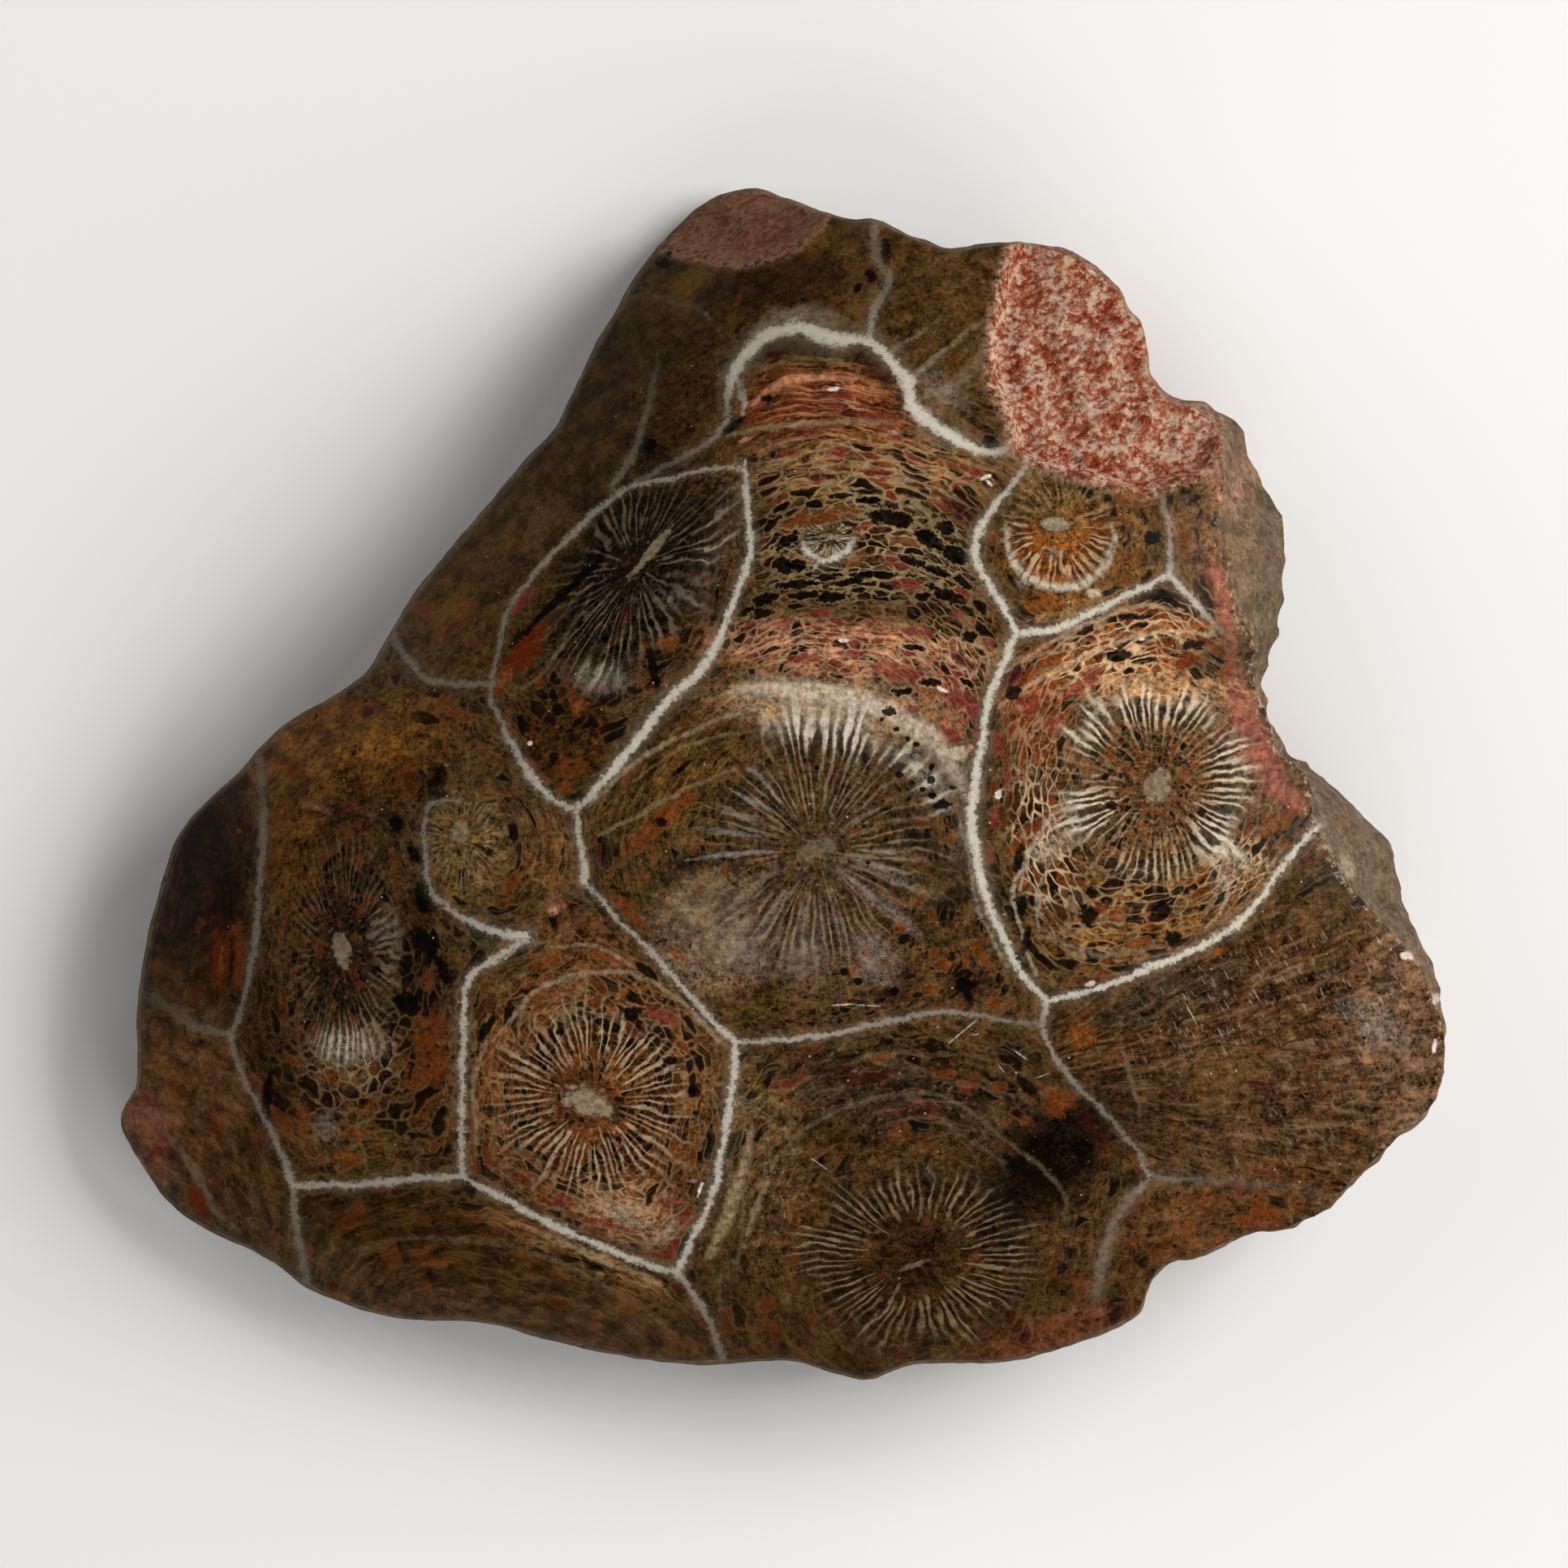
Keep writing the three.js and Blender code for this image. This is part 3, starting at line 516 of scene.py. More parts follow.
# Small marks on top of the stains and the septa; the white ones are partly chips and partly painted glints.
SPOTS = {
    "framed black": ((8, 5, 3), 0.95, 0.6, 0.2, [
        (6.0, 14.6, 1.45, 0.42, -10),
        (7.9, 13.5, 1.0, 0.4, -28), (9.5, 12.7, 0.8, 0.4, -28), (8.9, 14.1, 0.4, 0.35, 0),
        (4.6, 15.65, 0.6, 0.2, 0), (1.6, 15.4, 0.4, 0.2, 0), (-0.6, 14.4, 0.6, 0.22, 45),
        (0.2, 13.45, 0.7, 0.28, 38), (0, 12, 0.5, 0.45, 0), (0.75, 12.1, 0.5, 0.35, -20),
        (0.7, 11, 1.3, 0.25, 5), (3.5, 11.1, 1.4, 0.2, 8), (5.3, 11.5, 1.4, 0.2, 0),
        (-1, 10.2, 0.8, 0.3, 12), (1.2, 10.4, 0.9, 0.22, 5), (2.7, 10.3, 0.85, 0.3, 3),
        (4.2, 10.7, 0.6, 0.2, 0), (5.4, 10.5, 0.5, 0.2, 0), (-1.1, 9.4, 0.65, 0.27, 12),
        (9, 10.4, 1.0, 0.35, -25), (7.6, 10.3, 0.5, 0.25, 0), (10.8, 9.75, 0.5, 0.3, -50),
        (8, 5.6, 0.5, 0.25, 0), (6.6, 5.1, 0.6, 0.2, 0), (5.8, 4.0, 0.4, 0.25, 0),
        (7.1, 7.5, 0.65, 0.2, -8), (10.2, 8.1, 0.35, 0.3, 0), (10.1, 5.6, 0.4, 0.2, -30),
        (-0.2, 15.2, 0.7, 0.18, 30), (3.2, 15.9, 0.7, 0.16, 5), (2.4, 11.4, 0.8, 0.2, 5),
        (7.0, 12.3, 0.7, 0.22, -15), (8.4, 11.7, 0.7, 0.25, -25), (9.9, 11.1, 0.5, 0.25, -40),
    ]),
    "black": ((8, 5, 3), 0.95, 0.0, 0.25, [
        (-0.9, 21.3, 0.35, 0.2, 20), (-2.8, 19.8, 0.8, 0.25, 35),
        (-6.8, -2.1, 0.3, 0.2, 0), (8.75, -1.1, 0.45, 0.3, 0),
        (7.1, 0.1, 0.2, 0.2, 0), (8.1, 0.24, 0.2, 0.2, 0), (6.2, 3.0, 0.2, 0.15, 0),
        (6.8, 2.5, 0.18, 0.16, 0), (7.3, 2.2, 0.2, 0.16, 0), (6.4, 0.5, 0.2, 0.15, 0),
        (7.6, -0.3, 0.16, 0.14, 0), (8.2, -0.7, 0.2, 0.16, 0), (6.9, -0.8, 0.16, 0.14, 0),
        (8.1, 0.9, 0.15, 0.15, 0), (9.3, -0.2, 0.2, 0.15, 0), (5.4, 3.6, 0.2, 0.12, 60),
        (4.6, -4.3, 0.15, 0.12, 0),
        (10, -11.2, 0.7, 0.65, 0), (3.3, -10.35, 0.25, 0.22, 0), (4.05, -10.9, 0.25, 0.22, 0),
        (6.1, -11.4, 0.22, 0.2, 0), (20.9, 10.4, 0.9, 0.35, 0), (19.3, 9.2, 1.1, 0.2, 0),
        (18.35, 7.1, 1.0, 0.3, 5), (22.5, 7.7, 0.7, 0.3, 0), (12.6, 5, 0.5, 0.3, 50),
        (16.75, -7.2, 0.7, 0.6, 0), (20.9, -6.9, 0.6, 0.5, 0), (21.4, -8.5, 0.5, 0.4, 0),
        (20.3, 13.6, 0.4, 0.4, 0), (-12.7, 10, 3.9, 0.25, 45), (-7.2, 6.3, 1.2, 0.25, 100),
        (-8.4, -12.6, 0.5, 0.4, 0), (-6.3, -15.2, 0.5, 0.25, 0), (-4.9, -16.8, 0.4, 0.4, 0),
        (-16.4, -13.5, 0.9, 0.2, 60), (-21.4, -2.2, 0.5, 0.3, 90),
        (-20.4, -3.8, 0.6, 0.3, 120), (-19.9, -6, 0.9, 0.45, 90), (-19.9, -8.7, 0.9, 0.5, 115),
        (-18.7, -10.4, 1.0, 0.4, 115), (-20.9, -12, 0.8, 0.6, 0), (-28.6, -17.4, 1.6, 0.3, 80),
        (-6.5, 29.1, 0.6, 0.4, 25), (5.6, 29.8, 0.6, 0.25, 90), (4.85, 28.1, 0.4, 0.3, 90),
        (4.06, 27.4, 0.3, 0.3, 0), (-7.6, 18.6, 0.6, 0.5, 20),
        (18.0, -1.2, 0.35, 0.3, 0), (17.6, 0.4, 0.35, 0.2, 0), (17.0, -6.0, 0.4, 0.3, 0),
        (12.9, -4.2, 0.7, 0.25, 75), (13.1, -6.6, 0.7, 0.3, 85), (13.4, -8.6, 0.6, 0.2, 85),
        (-10.8, -5.9, 0.4, 0.3, -45), (-10.0, -7.0, 0.5, 0.2, -45), (-5.6, 0.9, 0.7, 0.15, 40),
    ]),
    # White marks: some are pale chips in the stone, and some are painted glints, small highlights of light
    # painted into the colour.
    "white chip and painted glint": ((214, 196, 184), 0.9, 0.0, 0.3, [
        (2.7, 21.8, 0.4, 0.13, 10), (11.1, 16.9, 0.3, 0.1, 25), (11.3, 16.6, 0.2, 0.08, -50),
        (8.7, 5.2, 0.4, 0.08, -20),
        (11.8, -0.64, 0.35, 0.2, 60), (34.4, -9.45, 0.4, 0.25, 0), (36, -11.9, 0.3, 0.2, 60),
        (-14, 2.25, 0.14, 0.12, 0), (16.9, -11.0, 0.3, 0.12, 25), (-4.6, -22.3, 0.4, 0.1, 70),
        (35.9, -14.5, 0.3, 0.12, 80),
        (19.7, 8.0, 0.2, 0.12, 0), (3.3, 7.9, 0.35, 0.12, 0),
    ]),
    "scratch": ((186, 176, 166), 0.7, 0.0, 0.6, [
        (3.3, -12.15, 0.7, 0.04, 4), (4.6, -12.2, 0.5, 0.03, -3), (9.9, -13.6, 0.9, 0.04, 40),
        (10.6, -13.8, 0.4, 0.03, 5), (13.0, -14.9, 0.4, 0.03, -35), (11.9, -15.6, 0.3, 0.03, -50),
        (14.2, -16.1, 0.4, 0.03, 20), (2.0, -21.0, 0.5, 0.03, -35), (22.4, -12.6, 0.5, 0.03, -60),
    ]),
    "rose": ((176, 120, 102), 0.55, 0.0, 0.3, [
        (-12.7, -7.0, 0.3, 0.25, 0), (6.0, 19.4, 0.25, 0.12, 0), (-2.1, 19.0, 0.4, 0.12, 20),
        (-5.0, -21.9, 0.3, 0.1, 0), (10.2, 1.9, 0.3, 0.15, 60),
    ]),
}

# Thin pale lines and streaks in the stone: half widths and strengths, each spread evenly along
# the line, then its colour and its points.
LINES = {
    "salmon lamina": ((0.12, 0.22, 0.15), (0.6, 0.9, 0.5), (196, 132, 98), [
        (-1.75, 21.0), (-0.55, 22.0), (1.1, 22.4), (2.7, 22.5), (3.8, 22.2)]),
    "green lamina": ((0.12, 0.18, 0.12), (0.5, 0.6, 0.4), (132, 120, 88), [
        (-3.2, 19.3), (-0.55, 19.7), (3.1, 20.0), (6.0, 20.0)]),
    "upper lamina": ((0.1, 0.14, 0.1), (0.4, 0.5, 0.3), (112, 98, 62), [
        (-1.2, 22.9), (0.4, 23.4), (2.6, 23.4), (4.4, 22.5), (5.2, 21.6)]),
    "second strand": ((0.12, 0.2, 0.15), (0.6, 0.9, 0.5), (160, 148, 130), [
        (-2.2, 20.3), (-2.3, 21.4), (-2.6, 22.4)]),
    "glow of the arch": ((0.3, 0.5, 0.45, 0.3), (0.2, 0.4, 0.35, 0.2), (150, 132, 104), [
        (-1.8, 24.7), (-0.6, 25.7), (1.4, 26.0), (3.2, 25.5)]),
    "cream arc": (
        (0.3, 0.45, 0.5, 0.55, 0.5, 0.5, 0.5, 0.5, 0.3),
        (0.4, 0.7, 0.8, 0.8, 0.75, 0.7, 0.65, 0.5, 0.3),
        (194, 178, 154), [
            (-2.8, 5.1), (-1.0, 5.3), (1.2, 5.1), (3.4, 4.8), (5.2, 4.2), (6.9, 3.3), (8.3, 2.4),
            (9.4, 0.9), (9.9, -0.6)]),
    "dark under the arch": ((0.2, 0.35, 0.3, 0.4, 0.2), (0.5, 0.85, 0.6, 0.85, 0.5), (26, 14, 8), [
        (-1.9, 22.9), (-0.8, 23.9), (0.9, 24.2), (2.8, 23.8), (4.6, 23.3), (5.7, 22.2), (6.3, 21.2)]),
    "wisp": ((0.15, 0.14, 0.12), (0.6, 0.45, 0.2), (140, 126, 104), [
        (7.1, 22.2), (8.0, 23.2), (9.3, 24.3), (10.9, 25.6)]),
    "second wisp": ((0.12, 0.12, 0.1), (0.5, 0.3, 0.15), (134, 120, 96), [
        (5.9, 23.9), (7.1, 24.6), (8.7, 25.8)]),
    "third wisp": ((0.2, 0.3, 0.2), (0.5, 0.4, 0.2), (132, 116, 90), [
        (7.8, 21.4), (9.4, 22.0), (10.6, 23.2), (11.2, 24.6)]),
    "centre lamina": ((0.12, 0.14, 0.12), (0.6, 0.7, 0.4), (146, 128, 98), [
        (-10.7, -1.2), (-9.2, 0.3), (-7.4, 1.7), (-3.9, 3.4), (-1.8, 4.1)]),
    "second centre lamina": ((0.12, 0.12, 0.1), (0.6, 0.6, 0.3), (130, 112, 80), [
        (-10.3, -2.9), (-8, -1.7), (-5.5, -0.35), (-2.7, 0.84)]),
    "third centre lamina": ((0.08, 0.1, 0.08), (0.4, 0.5, 0.3), (124, 106, 72), [
        (-8.2, 0.2), (-6.0, 1.8), (-3.6, 2.6), (-1.6, 2.9)]),
    "right centre lamina": ((0.1, 0.1), (0.5, 0.5), (150, 136, 116), [
        (9.7, -2.15), (10.2, -4.1), (10.5, -6.3), (11.4, -8.3), (12.4, -10.2)]),
    "spike": ((0.04, 0.12, 0.08), (0.4, 0.6, 0.3), (136, 131, 124), [
        (-4.9, -2.3), (-2.4, -2.7), (-1.1, -2.9)]),
    "lower spike": ((0.04, 0.14, 0.1), (0.3, 0.65, 0.5), (138, 133, 126), [
        (-5.5, -4.2), (-3.0, -3.9), (-0.5, -3.7)]),
    "upper spike": ((0.04, 0.16, 0.08), (0.4, 0.65, 0.4), (140, 135, 128), [
        (-2.9, -0.3), (-1.8, -0.9), (-0.6, -1.5)]),
    "top spike": ((0.04, 0.12, 0.06), (0.4, 0.6, 0.4), (138, 133, 124), [
        (-2.2, 0.9), (-1.2, 0.3), (-0.1, -1.0)]),
    "thin spike": ((0.03, 0.08, 0.05), (0.3, 0.5, 0.3), (134, 129, 120), [
        (-4.4, -1.2), (-2.7, -1.7), (-1.3, -2.3)]),
    "right spike": ((0.08, 0.12, 0.04), (0.3, 0.5, 0.3), (134, 129, 122), [(3.9, -4.1), (6.9, -4.9)]),
    "lower right spike": ((0.08, 0.14, 0.06), (0.3, 0.5, 0.3), (128, 124, 118), [(3.6, -5.1), (6.4, -7.4)]),
    "right lamina": ((0.1, 0.14, 0.12), (0.5, 0.7, 0.5), (180, 154, 122), [
        (11.8, 4.2), (13.6, 5.5), (16.1, 6.8), (18.7, 7.9), (21.3, 8.4), (23.8, 8.2)]),
    "second right lamina": ((0.1, 0.12, 0.1), (0.4, 0.6, 0.4), (176, 150, 118), [
        (12.2, 6.2), (14.4, 7.6), (17.4, 9.1), (19.8, 9.8), (22.0, 9.5)]),
    "foot arc": ((0.12, 0.15, 0.1), (0.4, 0.6, 0.3), (126, 112, 96), [
        (14.5, -8.5), (16.1, -9), (17.4, -9.5), (18.7, -9.3), (20.6, -8.9)]),
    "left strand": ((0.12, 0.12, 0.1), (0.8, 0.7, 0.4), (160, 148, 128), [
        (13.2, -4.3), (12.6, -5.8), (13.1, -8.3), (13.9, -10.6)]),
    "second left strand": ((0.08, 0.1, 0.08), (0.6, 0.6, 0.3), (150, 138, 118), [
        (14.6, -4.4), (13.9, -6.2), (14.1, -8.2)]),
    "small cell's ring": (
        (0.12, 0.2, 0.24, 0.24, 0.2, 0.12), (0.5, 0.8, 0.9, 0.9, 0.8, 0.4), (180, 168, 146), [
            (12.25, 14.2), (12.4, 12.7), (13.3, 11.45), (14.7, 10.85), (16.2, 10.95),
            (17.5, 11.8), (18.2, 13.2), (18.15, 14.2)]),
    "right cell, left strand": ((0.06, 0.12, 0.08), (0.7, 0.7, 0.4), (172, 156, 132), [
        (16.6, -0.9), (15.0, -1.6), (13.9, -3.0), (13.2, -4.6), (12.9, -6.6)]),
    "right cell, foot strand": ((0.06, 0.1, 0.06), (0.7, 0.6, 0.4), (166, 150, 128), [
        (23.4, -4.2), (24.4, -5.4), (24.2, -6.8), (23.0, -8.2)]),
    "crimson streak": (
        (0.5, 0.45, 0.3, 0.6, 0.95, 0.8, 0.4), (0.5, 0.5, 0.25, 0.45, 0.65, 0.6, 0.4),
        (170, 92, 76), [
            (23.8, 11.7), (24.5, 8.85), (24.9, 5.6), (25.5, 3.3), (26.2, 1.6), (27.1, 0.1),
            (28.4, -1.2)]),
    "upper left arc": ((0.1, 0.12, 0.08), (0.4, 0.6, 0.4), (116, 100, 74), [
        (-14.6, 5.2), (-13.1, 6.3), (-11.1, 9.7), (-10.5, 10.3)]),
    "second upper left arc": ((0.06, 0.08), (0.4, 0.5), (110, 98, 78), [
        (-12.6, 8.8), (-11.5, 10.2), (-10.5, 11.2)]),
    "hexagon ring": ((0.1, 0.14, 0.12, 0.14), (0.5, 0.6, 0.5, 0.7), (156, 138, 110), [
        (-16.1, -14.2), (-13.6, -11.4), (-11.2, -10.5), (-8.2, -10.5), (-5.8, -11.9),
        (-3.6, -14.1)]),
    "hexagon ring left": ((0.1, 0.12), (0.5, 0.6), (150, 132, 104), [
        (-16.9, -19.9), (-17.1, -16.6), (-16.4, -14.2)]),
    "hexagon upper strand": ((0.08, 0.12, 0.08), (0.4, 0.6, 0.5), (150, 134, 108), [
        (-12.8, -9.0), (-10.5, -8.9), (-8.0, -10.2)]),
    "bottom left arc": ((0.12, 0.14, 0.12), (0.3, 0.45, 0.3), (108, 92, 66), [
        (-23.9, -25.8), (-20.7, -25.1), (-17.1, -25.3), (-13.6, -26), (-10.1, -27.7),
        (-6.5, -30)]),
    "hexagon foot lamina": ((0.12, 0.22, 0.15), (0.4, 0.7, 0.4), (168, 140, 100), [
        (-14.6, -24.4), (-12.0, -25.4), (-9.2, -26.7), (-6.8, -27.7)]),
    "far left foot streak": ((0.15, 0.25, 0.15), (0.3, 0.55, 0.4), (124, 102, 80), [
        (-34.5, -19.0), (-32.9, -21.1), (-31.5, -23.7), (-30.3, -24.8)]),
    "far left line": ((0.08, 0.1), (0.25, 0.3), (108, 88, 66), [
        (-34.5, -14.6), (-33, -15.3), (-31, -15.9), (-30.7, -15.2)]),
    "bottom arc": ((0.1, 0.14, 0.12, 0.14), (0.3, 0.45, 0.35, 0.3), (112, 96, 72), [
        (-0.7, -21.1), (0.94, -19.2), (2.6, -18.2), (4.6, -17.4), (6.9, -17.1), (8.6, -17.2),
        (10.3, -18.1), (11.9, -19.4), (14.1, -21.1), (15.4, -22.6), (15.6, -24.2)]),
    "bottom arc left": ((0.12, 0.14, 0.12), (0.35, 0.4, 0.2), (116, 98, 72), [
        (-0.7, -21.1), (-2.1, -23.1), (-2.4, -26.1), (-3.4, -26.9), (-3.6, -29.7)]),
    "bottom inner arc": ((0.1, 0.12), (0.3, 0.3), (106, 90, 68), [
        (8.6, -18.4), (10.3, -19.7), (12.25, -20.9)]),
    "pale streak": ((0.1, 0.14, 0.1), (0.3, 0.4, 0.2), (124, 112, 94), [
        (18.6, -14.6), (19, -16), (19.7, -18.2)]),
    "bottom right curve": ((0.2, 0.3, 0.3), (0.35, 0.5, 0.4), (120, 104, 86), [
        (20.1, -21.9), (18.6, -23.6), (17.8, -25.6), (17.4, -28.2)]),
    "right of the hexagon": ((0.12, 0.3, 0.35, 0.2), (0.4, 0.65, 0.7, 0.5), (172, 148, 112), [
        (-1.7, -19.0), (-2.4, -21.6), (-3.1, -23.8), (-4.2, -26.2)]),
    "second right of the hexagon": ((0.1, 0.2, 0.15), (0.3, 0.55, 0.3), (156, 132, 98), [
        (-0.4, -20.6), (-1.4, -23.2), (-2.6, -26.4)]),
    "top lamina": ((0.15, 0.2, 0.15), (0.2, 0.35, 0.2), (98, 84, 60), [
        (-3.2, 24.6), (-5.0, 26.4), (-8.0, 27.0), (-10.0, 25.8)]),
    "tail of the bud": ((0.1, 0.08), (0.8, 0.3), (170, 165, 158), [(2.0, 12.3), (1.6, 11.8)]),
    "small arc": ((0.05, 0.08, 0.05), (0.5, 0.7, 0.5), (170, 160, 146), [
        (2.0, 13.4), (2.6, 13.65), (3.2, 13.4)]),
}


# The form.


def round_table(pairs):
    """A smooth closed curve of value against bearing, through (bearing in radians, value) pairs.

    Between two pairs it is the cubic whose slope at each pair is that of the line through the
    pairs on either side of it.
    """
    bearings, values = np.array(sorted((b % TURN, v) for b, v in pairs), float).T
    bearings = np.concatenate([bearings[-2:] - TURN, bearings, bearings[:3] + TURN])
    values = np.concatenate([values[-2:], values, values[:3]])
    slopes = np.zeros_like(values)
    slopes[1:-1] = (values[2:] - values[:-2]) / (bearings[2:] - bearings[:-2])

    def curve(bearing):
        b = np.asarray(bearing) % TURN
        i = np.searchsorted(bearings[:-2], b, side="right")
        span = bearings[i] - bearings[i - 1]
        t = (b - bearings[i - 1]) / span
        return (
            values[i - 1] * (1 + 2 * t) * (1 - t) ** 2
            + slopes[i - 1] * span * t * (1 - t) ** 2
            + values[i] * t * t * (3 - 2 * t)
            + slopes[i] * span * t * t * (t - 1)
        )

    return curve


outline_radius = round_table(
    [(np.arctan2(y - CROWN[1], x - CROWN[0]), np.hypot(x - CROWN[0], y - CROWN[1])) for x, y in OUTLINE]
)
dome_reach = round_table([(np.radians(row[0]), row[1]) for row in DOME])
dome_foot = round_table([(np.radians(row[0]), row[2]) for row in DOME])
dome_shoulder = round_table([(np.radians(row[0]), row[3]) for row in DOME])


def smooth(value, low, high):
    """0 below low, 1 above high, and 3t squared less 2t cubed between them."""
    t = np.clip((value - low) / (high - low), 0, 1)
    return t * t * (3 - 2 * t)


def near(bearing, middle, spread):
    """A bell of height 1 round a bearing in degrees: e to the minus (degrees apart / spread)^2."""
    apart = (np.degrees(bearing) - middle + 180) % 360 - 180
    return np.exp(-((apart / spread) ** 2))


def flare(bearing):
    """How far the side stands out past the polished edge: the lip plus a bell for each flare."""
    return EDGE_LIP + sum(reach * near(bearing, at, spread) for at, spread, reach in FLARES)


def widest(bearing):
    """Where the side is widest, as a share of the way down: two sines round the slice."""
    return 0.42 + 0.12 * np.sin(3 * bearing + 1) + 0.08 * np.sin(8 * bearing + 2)


def scatter(i, j, k, salt):
    """A repeatable fraction from 0 to 1 for each cell of a lattice."""
    s = np.sin(i * 127.1 + j * 311.7 + k * 74.7 + salt * 53.3) * 43758.5453
    return s - np.floor(s)


def hollow(x, y, z, size, depth):
    """How deep scooped hollows are: depth times (1 less the distance to the nearest scattered
    point, in lattice cells), with one such point in each cell of a cubic lattice of that size."""
    here = [x / size, y / size, z / size]
    cell = [np.floor(side) for side in here]
    nearest = np.ones_like(here[0])
    for n in range(27):
        at = [cell[0] + n % 3 - 1, cell[1] + n // 3 % 3 - 1, cell[2] + n // 9 - 1]
        apart = sum((at[a] + scatter(*at, a) - here[a]) ** 2 for a in range(3))
        nearest = np.minimum(nearest, np.sqrt(apart))
    return depth * (1 - nearest)


def hollows(x, y, z, kinds):
    """The hollows of each size, added up."""
    return sum(hollow(x, y, z, size, depth) for size, depth in kinds)


def around_crown(bearing, radius):
    """x and y of a place: the crown's plus radius times the bearing's cosine and sine."""
    return CROWN[0] + radius * np.cos(bearing), CROWN[1] + radius * np.sin(bearing)


def segment_distance(x, y, a, b):
    """Distance to the line from a to b, how far along it the nearest point is, and the side."""
    dx, dy = b[0] - a[0], b[1] - a[1]
    along = np.clip(((x - a[0]) * dx + (y - a[1]) * dy) / (dx * dx + dy * dy), 0, 1)
    side = (x - a[0]) * dy - (y - a[1]) * dx
    return np.hypot(x - a[0] - along * dx, y - a[1] - along * dy), along, side


def within(x, y, ring):
    """Whether places lie within a closed ring of points, by counting the edges to their right."""
    held = np.zeros(x.shape, bool)
    for (ax, ay), (bx, by) in zip(ring, np.roll(ring, -1, axis=0)):
        if ay != by:
            held ^= ((ay > y) != (by > y)) & (x < ax + (y - ay) * (bx - ax) / (by - ay))
    return held


def inside(x, y, ring):
    """Signed distance to a closed ring of points: above 0 inside it."""
    ring = np.array(ring)
    distance = np.full(x.shape, np.inf)
    for a, b in zip(ring, np.roll(ring, -1, axis=0)):
        distance = np.minimum(distance, segment_distance(x, y, a, b)[0])
    return np.where(within(x, y, ring), distance, -distance)


def matrix_share(x, y, fray=0.0):
    """1 on the rough matrix and 0 on the coral, with a smooth step inwards from fray outside its
    edge."""
    return np.max([smooth(inside(x, y, ring), -fray, MATRIX_STEP) for ring in MATRIX_PATCHES], axis=0)


def edge_radius(bearing):
    """Radius of the polished edge: the outline less the flare, less small chips on the broken
    side, which are hollows along the edge."""
    radius = outline_radius(bearing) - SKIN - flare(bearing)
    x, y = around_crown(bearing, radius)
    chips = hollows(x, y, 0 * x, EDGE_CHIPS)
    return radius - chips * (0.15 + 0.85 * near(bearing, *BROKEN_SIDE))


def face_point(bearing, share):
    """The polished face: at share of the edge's radius, the crown's height less the dome's fall,
    (radius / reach) to the power shoulder, less the step down to the matrix and its grains."""
    radius = share * edge_radius(bearing)
    x, y = around_crown(bearing, radius)
    fall = (radius / dome_reach(bearing)) ** dome_shoulder(bearing)
    drop = matrix_share(x, y) * (MATRIX_DEPTH + hollows(x, y, 0 * x, MATRIX_GRAINS))
    return np.stack([x, y, CROWN[2] - (CROWN[2] - dome_foot(bearing)) * fall - drop], axis=-1)


def side_point(bearing, upper, lower):
    """The side: upper runs from 0 at the polished edge to 1 at the widest place, where the
    radius is the outline's, and lower from 0 there to 1 at the sawn back's edge. The radius
    swells as a sine, draws in as a cosine, and has hollows of three sizes scooped out of it."""
    edge = face_point(bearing, np.ones_like(bearing))
    z = edge[..., 2] * (1 - widest(bearing) * upper) * (1 - lower)
    outer = outline_radius(bearing) - SKIN
    radius = outer - (outer - edge_radius(bearing)) * (1 - np.sin(TURN / 4 * upper))
    radius = radius - SAWN_DRAFT * (1 - np.cos(TURN / 4 * lower))
    x, y = around_crown(bearing, radius)
    broken = near(bearing, *BROKEN_SIDE)
    scoop = broken * hollows(x, y, z, BROKEN_SCOOPS) + (1 - broken) * hollows(x, y, z, WORN_SCOOPS)
    fine = (0.25 + 0.75 * broken) * hollows(x, y, z, FINE_SCOOPS)
    bite = np.where(lower > 0, np.sin(TURN / 4 * lower), 0.6 * np.sin(TURN / 2 * upper))
    fine_bite = np.clip(np.sin(TURN / 4 * np.clip(3 * upper, 0, 1)), 0, 1) * (1 - lower**6)
    radius = radius - scoop * bite - fine * fine_bite
    return np.stack([*around_crown(bearing, radius), z], axis=-1)


def disc_grid(n):
    """A square grid of n by n faces laid onto a disc: the bearing and share of the radius of each
    grid point, where squares round the middle become circles."""
    a, b = np.meshgrid(np.linspace(-1, 1, n + 1), np.linspace(-1, 1, n + 1), indexing="ij")
    wide = np.abs(a) >= np.abs(b)
    far = np.where(wide, a, b)
    ratio = np.where(wide, b, a) / np.where(far == 0, 1, far)
    angle = np.where(wide, TURN / 8 * ratio, TURN / 4 - TURN / 8 * ratio)
    return np.arctan2(far * np.sin(angle), far * np.cos(angle)), np.abs(far)


def grid_edge(n):
    """Row and column of the grid points round a square grid's edge, anticlockwise from the
    corner at the lower right."""
    up, down, full, none = np.arange(n), np.arange(n, 0, -1), np.full(n, n), np.zeros(n, int)
    return np.concatenate([full, down, none, up]), np.concatenate([up, full, down, none])


def quads(index):
    """The faces between neighbouring rows and columns of a grid of vertex numbers."""
    corners = [index[:-1, :-1], index[1:, :-1], index[1:, 1:], index[:-1, 1:]]
    return np.stack(corners, axis=-1).reshape(-1, 4)


